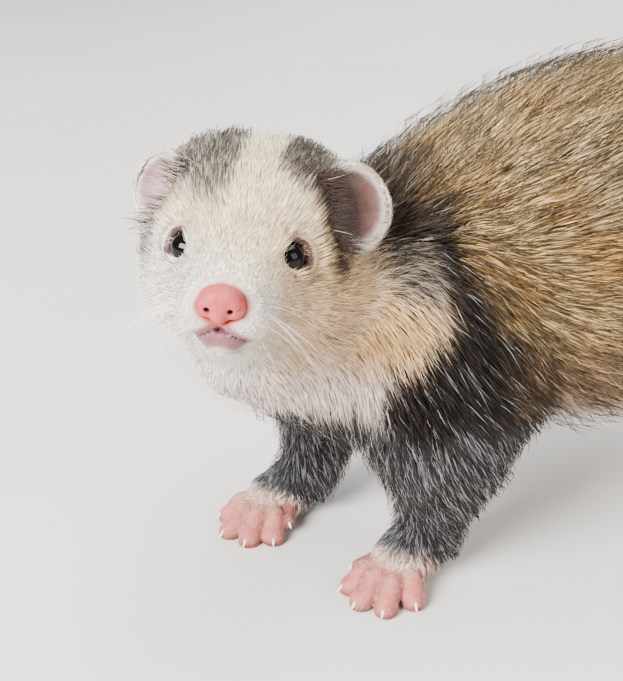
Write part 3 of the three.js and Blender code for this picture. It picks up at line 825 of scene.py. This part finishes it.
def markings(p):
    # The colours of the coat at each point: the ground colour, and how many hairs are dark or silver
    q = toHead(p)
    qx, qy, qz = q.T
    x, y, z = (p - home).T
    drift = wobble(p, 16) * 3
    patchy = wobble(p, 26, 3)
    top = ramp(z + drift, 92, 116)
    ground = mix(tones["gold"], tones["straw"], ramp(wobble(p, 20, 1), -0.6, 0.6)[:, None])
    # Painted shade: the coat turns a darker fawn low on the body, away from the light above
    ground = mix(ground, tones["shadedFawn"], (ramp(z + drift, 80, 56) * 0.9)[:, None])
    ground = mix(ground, tones["olive"], (top * (0.25 + 0.6 * ramp(patchy, 0.6, -0.4)))[:, None])
    streak = markingLook["darkShare"] + 0.12 * top + 0.08 * ramp(patchy, 0.2, -0.8)
    silver = np.zeros(len(p))

    def lay(colour, amount, dark, pale=0.0):
        nonlocal ground, streak, silver
        ground = mix(ground, tones[colour], amount[:, None])
        streak = mix(streak, dark, amount)
        silver = mix(silver, pale, amount)

    under = ramp(z + drift * 0.5, 52, 42) * ramp(y, 44, 56) * ramp(y, 274, 240)
    lay("belly", under, 0.15)
    lay("umber", ramp(y + drift, *markingLook["tailFrom"]), 0.4, 0.16)
    lay("dark", ramp(z + drift, 60, 38) * ramp(y, 196, 216) * ramp(y, 300, 285), 0.5, 0.12)  # hind legs
    # The dark mantle over the shoulders, and the forelegs
    beside = ramp(qx, 6, 26)
    front = mix(qy - 13, y - mix(*markingLook["mantleFront"], ramp(z, 52, 80)), beside) + drift * 0.5
    back = y - mix(*markingLook["mantleBack"], ramp(z, 64, 90)) + drift * 0.8
    behindEar = ramp(qx, 22, 30) * ramp(z, 76, 82) * ramp(y, 11.5, 14)
    nape = ramp(z, 82, 90) * ramp(qy, 0, 6) * ramp(qx, 12, 20)
    inFront = np.maximum(ramp(front, -2, 2), nape)
    mantle = np.maximum(inFront, behindEar) * ramp(back, 6, -4)
    lay("dark", mantle * ramp(z, 20, 36), 0.7, 0.1)
    lay("mantle", mantle * np.maximum(ramp(z, 92, 104) * 0.8, nape * 0.4), 0.7, 0.12)
    lay("ash", mantle * behindEar * (1 - inFront) * ramp(z + drift, 94, 88), 0.6, 0.2)
    foreleg = ramp(z + drift * 0.7, 52, 46) * ramp(y, 52, 44)
    lay("slate", foreleg, 0.6, 0.48)
    # The bib, up to the cheeks
    bib = (1 - inFront) * (1 - behindEar) * ramp(z + drift * 0.6, *markingLook["bibFoot"])
    cheek = ramp(qx, 12, 30) * ramp(z, 56, 68)
    lay("bib", bib, 0.0)
    # Its left neck is tan: partly its own colour, partly painted shade on the side away from the light
    lay("tan", bib * cheek, 0.02)
    # The head
    head = ramp(egg(q, (0, -8, -1), (30, 34, 28)), 5, -1) * (1 - inFront) * (1 - behindEar)
    lay("white", head, 0.0)
    lay("cream", head * ramp(qz + 0.3 * qx, -6, 8) * ramp(qy, 6, -12) * 0.9, 0.0)
    # Its left cheek is tan: partly its own colour, partly painted shade on the side away from the light
    lay("tan", head * ramp(qx, 2, 17) * ramp(qz, 14, -2) * ramp(qy, -41, -28) * 0.75, 0.02)
    for sign, (inner, frontEdge, turnAt, darkShare) in markingLook["patches"].items():
        a = qx * sign + wobble(p, 9, 3) * 0.8
        edge = frontEdge + 0.9 * np.maximum(a - turnAt, 0)
        patch = ramp(a, inner - 1, inner + 1.6) * ramp(qy, edge - 2, edge + 4) * ramp(qz, 9, 13)
        lay("patch", patch * head, darkShare, 0.2)
        w = toEar(q, sign)
        rim = egg(w, (0, 0, 0), faceForm["earOuter"])
        lay("white", ramp(rim, 1.2, 0.2) * ramp(w[:, 0] * sign, -6, -2), 0.02)
        # Dark fur in front of each ear, at its inner side
        root = taper(q, side((15.5, -15, 16), sign), side((22, -14.5, -1), sign), 3.2, 3.2)
        lay("brown", ramp(root, 1.6, -1.4) * (0.85 if sign > 0 else 0.45), 0.75, 0.25)
    # A few small dark flecks on its left cheek
    for fleck, size in markingLook["flecks"]:
        lay("brown", ramp(egg(q, fleck, (size, size * 1.6, size * 0.8)), 0.6, -0.4) * 0.8, 0.6)
    # White cuffs over the toes
    for leg in legs:
        w = toPaw(p, leg)
        height = z + np.maximum(w[:, 1] + 3, 0) * 1.1
        lay("cuff", ramp(height, *markingLook["cuff"]) * (np.linalg.norm(w, axis=-1) < 30), 0.0)
    return ground, np.clip(streak, 0, 1), np.clip(silver, 0, 1)


def bareSkin(p):
    # 1 where the skin is bare, and the colour of that skin
    q = toHead(p)
    qx, qy, qz = q.T
    bare = np.zeros(len(p))
    colour = np.tile(tones["pink"], (len(p), 1))

    def lay(name, amount):
        nonlocal bare, colour
        colour = mix(colour, tones[name], np.minimum(amount * 4, 1)[:, None])
        bare = np.maximum(bare, amount)

    for leg in legs:
        w = toPaw(p, leg)
        _, wy, wz = w.T
        reach = np.linalg.norm(w[:, :2], axis=-1)
        close = reach < leg["length"] + 6
        ends = [toeEnd(i, leg) for i in range(4)]
        between = np.min([np.linalg.norm((w - end)[:, :2], axis=-1) for end in ends], axis=0)
        toes = ramp(reach, leg["length"] * 0.15, leg["length"] * 0.4) * ramp(wy, 4, -2)
        lay("pink", np.maximum(toes * ramp(wz, 9.5, 6.5) * 0.85, ramp(wz, 2.6, 1.4)) * close)
        lay("rose", ramp(wz, 2.4, 0.8) * close)
        # Painted shade: a deeper rose in the furrows between the toes
        lay("rose", toes * close * ramp(between, 2.1, 3.2) * ramp(wz, 7.5, 5) * 0.25)
    above = qz - mouthLine(q)
    lip = ramp(above, -4.4, -3.2) * ramp(above + 0.2 * np.abs(qx), 3.2, 1.8) * ramp(qy, -34, -37)
    lay("mauve", lip * ramp(np.abs(qx), 7, 4.5) * ramp(egg(q, (0, -36, -13), (9, 9, 6)), 2, 0))
    lay("mauve", ramp(taper(q, (0, -44, -10.5), (0, -42, -12.6), 0.7, 0.7), 0.7, 0) * 0.9)
    for sign in (1, -1):
        e = toEye(q, sign)
        ex, ey, ez = e.T
        around = np.hypot(ex, ey * 1.1)
        colour[around < 7] = tones["rim"]
        lay("rim", ramp(around - 0.08 * ex, 5.2, 4.5) * ramp(np.abs(ez), 4, 3))
        corner = taper(e, (-2.4, -0.6, 0), (-faceForm["cornerReach"] - 0.6, -1.2, 0), 1.0, 0.7)
        lay("pink", ramp(corner, 0.9, 0.1))
        lay("mauve", ramp(taper(e, (-3.6, -0.5, 0), (-4.8, 5.5, 0), 0.5, 0.2), 1.0, 0) * 0.5)
        w = toEar(q, sign)
        wx, wy, wz = w.T
        inside = ramp(earHollow(w, sign), 0.8, 0.1) * ramp(wy, -2.6, -1.0) * (np.abs(w) < 12).all(-1)
        # Inside each ear; the pink of its left one is darkened by painted shade
        lay("earPink" if sign > 0 else "earLilac", inside)
        # Painted shade deep in the cup, darkest towards its inner side
        inner = ramp(wx * sign + wz * 0.3, 9, 1)
        lay("earPaintedShade", inside * inner * (0.25 if sign > 0 else 0.08))
    lay("pink", ramp(egg(q, faceForm["noseCentre"], faceForm["noseRadii"]), 1.2, 0.3))
    return bare, colour


def makeSkin():
    grid = openvdb.FloatGrid(skinForm["outside"])
    grid.copyFromArray(fineGrid, ijk=(0, 0, 0))
    points, triangles, quads = grid.convertToPolygons(0, skinForm["adaptivity"])
    points = points * fineCell + gridLow
    faces = np.concatenate([triangles, quads[:, :3], quads[:, [0, 2, 3]]])
    normals = skinField.slope(points, fineCell)
    ground, streak, silver = markings(points)
    bare, flesh = bareSkin(points)
    fur = mix(ground, tones["dark"], (streak * 0.5)[:, None]) * 0.82
    colours = mix(fur, flesh, bare[:, None])
    weights = regionWeights(points)
    lie = regionLie(points, weights, normals)
    across = unit(np.cross(normals, lie))
    grain = np.stack([dot(points, across) * 2.2, dot(points, lie) * 0.25, dot(points, normals) * 0.3], -1)
    piece = makePiece("skin", points, faces, skinMaterial, colours, bare=bare, grain=grain)
    return piece, points, faces


def regionLie(p, weights, normals):
    # The way the hair lies at each point, along the skin
    lie = sum(w[:, None] * region["lie"](p) for w, region in zip(weights, regions))
    return unit(lie - dot(lie, normals)[:, None] * normals)


skinPiece, skinPoints, skinFaces = makeSkin()
print("skin", len(skinPoints), "points", len(skinFaces), "triangles")
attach(skinPiece, "root")
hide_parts(*[name for name in fleshNodes if name != "nose"])


# Coat: thin closed tufts, each with a root under the skin, one bend and a tip.
# A soft under coat covers the skin, and longer guard hairs, many with a dark or silver end, stand over it.
coatLook = {
    "plenty": 0.78,  # scales the number of tufts
    "sink": 0.5,  # mm under the skin
    "thickness": 0.5,  # of the width
    "bend": 0.5,  # where it is, of the length
    "sway": 13,  # degrees
    "guardWidth": 0.38,  # of the under coat's
    "rise": {True: (1.0, 1.25), False: (0.45, 0.92)},  # of the coat's depth, for guards and under coat
    "bendRise": {True: 0.88, False: 0.66},  # of the tip's
    "longGuards": (0.15, 0.35),  # the share that rise further, and by how much
    "darkWidth": {True: 2.3, False: 1.3},  # of the others, for guards and for the under coat
    "underDark": {"body": 0.2},  # of the share that is dark elsewhere
    # Painted shade: the roots, deep in the coat, are darker than the tips
    "rootPaintedShade": {"face": 0.85, "ear": 0.8, "head": 0.65, "body": 0.72},  # of the ground colour
    "paleShade": {True: 0.9, False: 1.04},  # of the ground colour, at the tips of the others
    "darkTip": 0.42,  # of the dark tones
    "tipReach": (0.93, 0.5),  # how far a dark and a silver tip's colour goes at the bend
    # how far neighbouring tufts draw together, and how many share a tip
    "clump": {"face": (0.25, 6), "ear": (0.1, 5), "head": (0.35, 9), "neck": (0.7, 30), "body": (0.5, 9),
              "tail": (0.5, 12), "leg": (0.5, 10)},
    "mostTriangles": 190000,  # in one piece
}
bakePatch = 0.003  # width of a tuft's patch on the map for baking


def evenOrder(p, size):
    # An order that keeps close points together
    keys = np.zeros(len(p), np.int64)
    steps = ((p - p.min(0)) / size).astype(np.int64)
    for bit in range(10):
        for axis in range(3):
            keys |= ((steps[:, axis] >> bit) & 1) << (3 * bit + axis)
    return np.argsort(keys, kind="stable")


def scatterRoots(layer, random):
    corners = skinPoints[skinFaces]
    centres = corners.mean(1)
    one, two = corners[:, 1] - corners[:, 0], corners[:, 2] - corners[:, 0]
    areas = np.linalg.norm(np.cross(one, two), axis=-1) / 2
    weights = regionWeights(centres)
    many = regionMean(weights, layer) * areas * (1 - 0.85 * bareSkin(centres)[0]) * coatLook["plenty"]
    order = evenOrder(centres, 1.5)
    total = np.cumsum(many[order])
    marks = np.arange(int(total[-1])) + random.random(int(total[-1]))
    chosen = order[np.minimum(np.searchsorted(total, marks), len(order) - 1)]
    u, v = random.random((2, len(chosen)))
    over = u + v > 1
    u, v = np.where(over, 1 - u, u), np.where(over, 1 - v, v)
    roots = corners[chosen, 0] + u[:, None] * one[chosen] + v[:, None] * two[chosen]
    return roots, np.array([region["kind"] for region in regions])[weights[:, chosen].argmax(0)]


def gather(paths, roots, amount, spacing, random):
    # Draws the outer parts of neighbouring tufts towards one of them
    leaders = random.choice(len(roots), max(len(roots) // spacing, 1), replace=False)
    tree = KDTree(len(leaders))
    for i, leader in enumerate(leaders):
        tree.insert(roots[leader], i)
    tree.balance()
    nearest = leaders[[tree.find(root)[1] for root in roots]]
    pull = amount * random.uniform(0.4, 1.2, len(roots))
    for k, part in ((1, 0.4), (2, 1.0)):
        paths[:, k] = mix(paths[:, k], paths[nearest, k], (pull * part)[:, None])
    return paths


def growTufts(name, kind, guard, roots, bake, random):
    weights = regionWeights(roots)
    normals = skinField.slope(roots, 0.9)
    lie = regionLie(roots, weights, normals)
    unsteady = (0.7 if guard else 0.5) * (0.5 if kind in ("face", "ear") else 1)
    swing = wobble(roots, 14, 1) * 0.7 + random.normal(0, unsteady, len(roots))
    swing = np.radians(coatLook["sway"]) * swing
    lie = unit(lie * np.cos(swing)[:, None] + np.cross(normals, lie) * np.sin(swing)[:, None])
    bare, _ = bareSkin(roots)

    def sizes(key, lowest, highest, lessOnBare):
        drawn = random.uniform(lowest, highest, len(roots))
        return regionMean(weights, key) * drawn * (1 - lessOnBare * bare)

    length = sizes("length", 0.75, 1.2, 0.5)
    width = sizes("width", 0.75, 1.2, 0.7)
    rise = sizes("depth", *coatLook["rise"][guard], 0.6)
    if guard:
        share, further = coatLook["longGuards"]
        width *= coatLook["guardWidth"]
        rise *= 1 + further * (random.random(len(roots)) < share)
    paths, ups, place, way = [roots - normals * coatLook["sink"]], [normals], roots, lie
    for stop, lift in ((coatLook["bend"], coatLook["bendRise"][guard]), (1 - coatLook["bend"], 1)):
        place = place + way * (length * stop)[:, None]
        up = skinField.slope(place, 1.2)
        place = place + up * (rise * lift - skinField.at(place))[:, None]
        way = unit(way - dot(way, up)[:, None] * up)
        paths.append(place)
        ups.append(up)
    paths = np.stack(paths, 1)
    paths[:, :, 2] = np.maximum(paths[:, :, 2], 0.3)
    amount, spacing = coatLook["clump"].get(kind, coatLook["clump"]["leg"])
    paths = gather(paths, roots, amount * (0.5 if guard else 1), spacing, random)
    colours, isDark = tuftColours(kind, roots, paths, guard, random)
    width = width * np.where(isDark, coatLook["darkWidth"][guard], 1)
    return shapeTufts(name, paths, ups, width, colours, bake)


def shapeTufts(name, paths, ups, width, colours, bake):
    across = unit(np.cross(paths[:, 2] - paths[:, 0], ups[1])) * (width / 2)[:, None]
    lift = ups[1] * (width * coatLook["thickness"])[:, None]
    bend = paths[:, 1]
    points = np.stack([paths[:, 0], bend - across, bend + lift, bend + across, paths[:, 2]], 1)
    faces = np.array([(0, 2, 1), (0, 3, 2), (0, 1, 3), (1, 2, 4), (2, 3, 4), (3, 1, 4)])
    faces = repeated(faces, len(paths), 5)
    # Each tuft's patch on the unwrap, where its root is
    corners = np.array([(1, 0), (0, 1), (1, 1), (2, 1), (1, 2)]) / 2 * bakePatch
    bakeMap = (bake[:, None] + corners).reshape(-1, 2)
    piece = makePiece(name, points.reshape(-1, 3), faces, furMaterial, colours.reshape(-1, 3), bakeMap)
    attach(piece, "root")
    return piece


def tuftColours(kind, roots, paths, guard, random):
    # The markings are read where most of the tuft is seen, past its bend
    seen = mix(paths[:, 1], paths[:, 2], 0.35) + random.normal(0, 0.9, roots.shape)
    ground, dark, silver = markings(seen)
    bare, flesh = bareSkin(roots)
    onFlesh = flesh * 1.1 if kind in ("ear", "face") else mix(flesh, tones["white"], 0.5)
    count = len(roots)
    draw = random.random(count)
    if not guard:
        dark, silver = dark ** 3 * coatLook["underDark"].get(kind, 1), silver ** 3
    isDark, isSilver = draw < dark, draw > 1 - silver
    patches = 1 + 0.09 * wobble(roots, 11, 4) + 0.1 * wobble(roots, 3.5, 2)
    shade = (1 + random.normal(0, 0.08, count)) * patches
    ground = mix(ground * shade[:, None], onFlesh, (bare * 0.8)[:, None])
    darkTip = mix(tones["brown"], tones["dark"], random.random(count)[:, None]) * coatLook["darkTip"]
    pale = ground * coatLook["paleShade"][guard]
    tip = np.where(isDark[:, None], darkTip, np.where(isSilver[:, None], tones["silver"], pale))
    darkReach, silverReach = coatLook["tipReach"]
    onward = np.where(isDark, darkReach, np.where(isSilver, silverReach, 0)) * (1 if guard else 0.5)
    bend = mix(ground, tip, onward[:, None])
    # Painted shade: each tuft darkens towards its root, deep in the coat
    root = ground * coatLook["rootPaintedShade"].get(kind, 0.4)
    return np.clip(np.stack([root, bend, bend, bend, tip], 1), 0.004, 1), isDark


def unwrap(p, kind):
    # A place for each root on an unwrap of the skin round the axis of its part of the body
    if kind in ("face", "ear", "head", "neck"):
        q = toHead(p)
        axis, one, two = q[:, 1], q[:, 0], q[:, 2] + 2
    elif kind in ("body", "tail"):
        axis, one, two = p[:, 1], p[:, 0] + 3, p[:, 2] - (75 if kind == "body" else 55)
    else:
        leg = next(leg for leg in legs if leg["name"] == kind)
        axis, one, two = p[:, 2], p[:, 0] - leg["joints"][1][0], p[:, 1] - leg["joints"][1][1] + 4
    about = np.arctan2(one, -two) / (2 * math.pi) + 0.5
    run = (axis - axis.min()) / max(np.ptp(axis), 1)
    return 0.01 + 0.975 * np.stack([about, run], -1)


def growCoat():
    random = np.random.default_rng(11)
    total = 0
    for layer, word in (("tufts", "under"), ("guards", "guard")):
        roots, kinds = scatterRoots(layer, random)
        for kind in dict.fromkeys(kinds):
            mine = roots[kinds == kind]
            bake = unwrap(mine, kind)
            order = np.argsort(mine[:, 2] if kind.startswith(("fore", "hind")) else mine[:, 1])
            parts = math.ceil(len(mine) * 6 / coatLook["mostTriangles"])
            for n, chosen in enumerate(np.array_split(order, parts)):
                name = f"{word}_{kind}" + (f"_{n + 1}" if parts > 1 else "")
                piece = growTufts(name, kind, word == "guard", mine[chosen], bake[chosen], random)
                total += len(chosen)
                print(name, len(chosen), "tufts")
    print("coat", total, "tufts", total * 6, "triangles")


growCoat()


# Single hairs: whiskers, brows, and the hairs across the ears, as thin closed tubes.
# Where there are two values, they are for its left and its right.
hairLook = {
    "steps": 8,
    "whiskers": {1: (12, 24), -1: (22, 28)},  # how many, and the longest
    "whiskerWidth": {1: 0.08, -1: 0.12},
    "brows": 7,
    "browWidth": 0.14,
    "earFringe": {1: 700, -1: 240},
    "earDark": {1: 0.99, -1: 0.5},  # the share of them that are dark
    "fringeWidth": 0.22,
}


def makeHairs(roots, ways, lengths, widths, droop, colours):
    steps = hairLook["steps"]
    t = np.linspace(0, 1, steps + 1)
    line = roots[:, None] + ways[:, None] * (lengths[:, None] * t)[..., None]
    line[:, :, 2] -= np.outer(droop, t ** 2)
    spin = np.array([0, 2, 4]) * math.pi / 3
    one = unit(np.cross(ways, (0.3, 0.2, 0.9)))
    two = np.cross(ways, one)
    ring = one[:, None] * np.cos(spin)[:, None] + two[:, None] * np.sin(spin)[:, None]
    size = widths[:, None] / 2 * (1 - 0.75 * t[:-1])
    sides = line[:, :-1, None] + ring[:, None] * size[:, :, None, None]
    starts = roots - ways * 0.3
    points = np.concatenate([sides.reshape(len(roots), -1, 3), starts[:, None], line[:, -1:]], 1)
    each = points.shape[1]
    faces = repeated(ringFaces(steps, 3), len(roots), each)
    q = toHead(roots)
    bake = 0.01 + 0.97 * (q[:, [0, 2]] + 40) / 80
    run = np.linspace(0, 2, each)
    corners = np.stack([[*np.tile([0, 1, 2], steps), 1, 1], [*run[1:-1], 0, 2]], -1) / 2 * bakePatch
    bakeMap = (bake[:, None] + corners).reshape(-1, 2)
    colours = np.repeat(colours, each, 0)
    piece = makePiece("hairs_face", points.reshape(-1, 3), faces, furMaterial, colours, bakeMap)
    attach(piece, "root")


def onSkin(q):
    # Moves places given in the head's frame onto the skin
    p = fromHead(q)
    for _ in range(6):
        p = p - skinField.slope(p, 0.8) * skinField.at(p)[:, None]
    return p


def growHairs():
    random = np.random.default_rng(8)
    hairs = []

    def add(place, way, length, width, fall, colour):
        hairs.append((place, way, length, width, fall, tones[colour]))

    for sign in (1, -1):
        many, longest = hairLook["whiskers"][sign]
        width = hairLook["whiskerWidth"][sign]
        for _ in range(many):
            back, low = random.random(2)
            place = side((6.6, -39.5 + 8 * back, -7.2 - 5.5 * low), sign)
            way = side((0.9, 0.05 + 0.45 * back, -0.1 - 0.5 * low) + random.normal(0, 0.13, 3), sign)
            length = random.uniform(10, longest)
            add(place, way, length, width, length * random.uniform(0.2, 0.75), "white")
        for _ in range(hairLook["brows"]):
            place = side((9.5, -24.5, 8.2) + random.normal(0, 1.1, 3), sign)
            add(place, side((0.35, 0.1, 0.8) + random.normal(0, 0.2, 3), sign), random.uniform(7, 12),
                hairLook["browWidth"], -1, "brown" if random.random() < 0.7 else "white")
        ear = np.array(faceForm["earAt"][sign])
        for _ in range(hairLook["earFringe"][sign]):  # over the cup of the ear, from its inner side
            down = random.random()
            across = random.uniform(-9, -4) + 6 * down ** 2
            place = ear + side((across, -5.5, 8 - 15.5 * down), sign) + random.normal(0, 0.8, 3)
            way = side((0.85, -0.3, 0.35 - 0.35 * down) + random.normal(0, 0.2, 3), sign)
            isDark = random.random() < hairLook["earDark"][sign]
            tone = random.choice(("brown", "umber", "rim", "dark")) if isDark else "bib"
            width = hairLook["fringeWidth"] * (1 if isDark else 0.5)
            add(place, way, random.uniform(2.5, 8.5), width, 0.4, tone)
    roots, ways, *sizes, colours = (np.array(column) for column in zip(*hairs))
    makeHairs(onSkin(roots), unit(ways) @ headAxes.T, *sizes, colours)


growHairs()


# Claws: curved, flattened at the sides, pale horn with pink at the root
clawLook = {
    "length": 3.1,
    "root": 1.15,  # radius
    "curl": 0.5,
    "flat": 0.62,  # of the height, across
    "thumb": 0.8,  # size of the short inner toe's
    "rings": 9,
    "around": 12,
}


def clawFinish():
    horn = Finish("claw", Subsurface_Weight=0.2, Subsurface_Scale=0.001, Specular_IOR_Level=0.5)
    reach = horn.attribute("reach") + horn.noise(700, 2) * 0.12
    horn.feed("Base Color", reach.colours(
        (0.0, srgb(214, 160, 150)), (0.45, srgb(226, 206, 196)), (1.0, srgb(240, 236, 228))))
    horn.feed("Roughness", horn.noise(1500, 2) * 0.15 + 0.3)
    return horn.material


def clawPoints(end, isThumb):
    # In the paw's frame: its rings in order, then its root's middle and its tip
    t = np.linspace(0, 1, clawLook["rings"] + 1)
    spin = np.linspace(0, 2 * math.pi, clawLook["around"], endpoint=False)[:, None]
    up = np.array([0, 0, 1.0])
    out = unit(end * (1, 1, 0))
    size = clawLook["length"] * (clawLook["thumb"] if isThumb else 1)
    start = end + (out * 0.4 + up * 0.3 if isThumb else out * 0.9 + up)
    drop = min(clawLook["curl"] * size, start[2] - 0.35)
    line = start + out * (size * t)[:, None] - up * (drop * t ** 2)[:, None]
    radius = clawLook["root"] * (1 - t) ** 0.7 * (0.85 if isThumb else 1)
    radius[0] *= 0.85
    ring = np.cross(out, up) * clawLook["flat"] * np.cos(spin) + up * np.sin(spin)
    sides = line[:-1, None] + ring * radius[:-1, None, None]
    return np.concatenate([sides.reshape(-1, 3), line[:1] - out * 0.4, line[-1:]])


def makeClaws():
    rings, around = clawLook["rings"], clawLook["around"]
    claws = []
    for leg in legs:
        claws += [fromPaw(clawPoints(toeEnd(i, leg), False), leg) for i in range(4)]
        if leg["fore"]:
            claws.append(fromPaw(clawPoints(side(pawForm["thumb"], leg["sign"]), True), leg))
    faces = repeated(ringFaces(rings, around), len(claws), rings * around + 2)[:, ::-1]
    reach = np.tile([*np.repeat(np.arange(rings) / rings, around), 0, 1], len(claws))
    piece = makePiece("claws", np.concatenate(claws), faces, clawFinish(), reach=reach)
    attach(piece, "root")


makeClaws()


# Eyes
eyeLook = {"rings": 24, "around": 48, "bulge": 0.35}


def eyeFinish():
    eye = Finish("eye", Roughness=0.08, Coat_Weight=0.06, Coat_Roughness=0.02, Specular_IOR_Level=0.14)
    reach = eye.attribute("reach")
    streaks = eye.noise(900, 3) * 0.08
    eye.feed("Base Color", (reach + streaks).colours(
        (0.0, srgb(6, 5, 6)), (0.6, srgb(8, 6, 7)), (0.85, srgb(26, 16, 13)), (1.0, srgb(40, 26, 22))))
    return eye.material


eyeMaterial = eyeFinish()


def makeEye(sign, node):
    rings, around = eyeLook["rings"], eyeLook["around"]
    polar = np.linspace(0, math.pi, rings + 1)[1:-1]
    spin = np.linspace(0, 2 * math.pi, around, endpoint=False)
    a, b = np.meshgrid(polar, spin, indexing="ij")
    size, bulge = faceForm["eyeRadius"], eyeLook["bulge"]
    ball = np.stack([np.sin(a) * np.cos(b), np.sin(a) * np.sin(b), np.cos(a)], -1)
    ball = ball * (size + bulge * np.exp(-(a / 0.5) ** 2))[..., None]
    local = np.concatenate([ball.reshape(-1, 3), [[0, 0, size + bulge], [0, 0, -size]]])
    faces = ringFaces(rings - 1, around)[:, ::-sign]
    out = eyeFrame(sign)
    centre = side(faceForm["eyeAt"], sign) - out[:, 2] * faceForm["eyeSunk"]
    reach = np.arccos(np.clip(local[:, 2] / np.linalg.norm(local, axis=-1), -1, 1)) / 1.15
    piece = makePiece("eyeball_" + ("left" if sign > 0 else "right"), fromHead(local @ out.T + centre),
                      faces, eyeMaterial, reach=np.clip(reach, 0, 1))
    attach(piece, "root")
    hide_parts(node)


makeEye(1, "eye_left")
makeEye(-1, "eye_right")

# Nose
noseLook = {"cell": 0.28, "room": (15, 12, 13)}  # the grid that its form is worked out on


def noseFinish():
    nose = Finish("nose", Subsurface_Weight=0.12, Subsurface_Scale=0.002, Specular_IOR_Level=0.3)
    depth = nose.attribute("depth")
    pebbles = nose.cells(2600)
    colour = nose.noise(400, 3).colours((0.3, srgb(158, 58, 62)), (0.7, srgb(180, 82, 80)))
    # Painted shade: the pad turns dark red deeper in the nostrils
    nose.feed("Base Color", colour.toward(srgb(84, 20, 24), depth))
    nose.feed("Roughness", pebbles * 0.25 + 0.42)
    nose.bump(pebbles, 0.5, 0.0002)
    return nose.material


def noseForm(q):
    centre, radii = np.array(faceForm["noseCentre"]), np.array(faceForm["noseRadii"])
    d = egg(q, centre + [0, 0, 0.3], radii - [0.9, 0, 0.6])
    d = join(d, egg(q, centre + [0, -0.3, 1.4], (4.2, 3.0, 2.0)), 1.5)
    d = join(d, egg(q, centre + [0, -0.7, -2.2], (1.9, 2.6, 1.8)), 1.0)
    for sign in (1, -1):
        d = join(d, egg(q, centre + [2.9 * sign, -0.6, -0.7], (2.1, 2.4, 2.2)), 0.9)
        d = carve(d, taper(q, (2.5 * sign, -46.6, -8.7), (2.3 * sign, -43.8, -7.7), 0.56, 0.5), 0.35)
        d = carve(d, taper(q, (2.9 * sign, -46.0, -8.5), (5.2 * sign, -43.6, -7.2), 0.36, 0.28), 0.45)
    d = carve(d, taper(q, (0, -46.5, -5.2), (0, -46.0, -11), 0.2, 0.42), 0.9)
    return d


def makeNose():
    step = noseLook["cell"]
    room = np.array(noseLook["room"])
    low = np.array(faceForm["noseCentre"]) - room / 2
    shape = np.ceil(room / step).astype(int)
    axes = [low[i] + step * np.arange(shape[i]) for i in range(3)]
    q = np.stack(np.meshgrid(*axes, indexing="ij"), -1).reshape(-1, 3)
    grid = openvdb.FloatGrid(3.0)
    grid.copyFromArray(noseForm(q).reshape(shape).astype(np.float32))
    points, quads = grid.convertToQuads(0)
    points = points * step + low
    whole = egg(points, faceForm["noseCentre"], np.array(faceForm["noseRadii"]) + 0.2)
    # How far into a nostril each point lies, for the painted shade there
    nostril = np.min([taper(points, (2.5 * s, -46.8, -8.7), (2.3 * s, -43.0, -7.6), 0.62, 0.7)
                      for s in (1, -1)], axis=0)
    depth = ramp(nostril, 0.5, 0.0) * ramp(whole, 0.1, -0.9)
    piece = makePiece("nosePad", fromHead(points), quads, noseFinish(), depth=depth)
    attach(piece, "root")
    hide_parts("nose")


makeNose()

# Floor and light
floorFinish = Finish("floor", Roughness=0.6)
floorFinish.feed("Base Color", floorFinish.noise(6, 2).colours(
    (0.3, srgb(214, 212, 208)), (0.7, srgb(222, 220, 216))))
floorCorners = np.array([(-1, -1, 0), (1, -1, 0), (1, 1, 0), (-1, 1, 0)]) * 1500
floor = makePiece("floor", floorCorners, np.array([(0, 1, 2, 3)]), floorFinish.material)

lights = {
    # place in metres, size in metres, power in watts, colour
    "window": ((0.55, -1.1, 0.7), 0.6, 72, (1.0, 0.985, 0.95)),
    "room": ((1.0, 0.45, 0.7), 0.9, 16, (1.0, 0.93, 0.83)),
    "above": ((-0.2, 0.1, 1.2), 0.9, 20, (1.0, 0.99, 0.95)),
    "behind": ((-0.9, 0.4, 0.5), 0.7, 5, (1.0, 1.0, 1.0)),
}
for name, (place, size, power, colour) in lights.items():
    lamp = bpy.data.lights.new(name, "AREA")
    lamp.size, lamp.energy, lamp.color = size, power, colour
    holder = bpy.data.objects.new(name, lamp)
    holder.location = place
    aim = Vector((0, -0.1, 0.06)) - Vector(place)
    holder.rotation_euler = aim.to_track_quat("-Z", "Y").to_euler()
    bpy.context.collection.objects.link(holder)
worldLight = {"Color": (0.92, 0.92, 0.94, 1), "Strength": 0.34}
world = bpy.data.worlds.new("room")
bpy.context.scene.world = world
world.use_nodes = True
for key, value in worldLight.items():
    world.node_tree.nodes["Background"].inputs[key].default_value = value
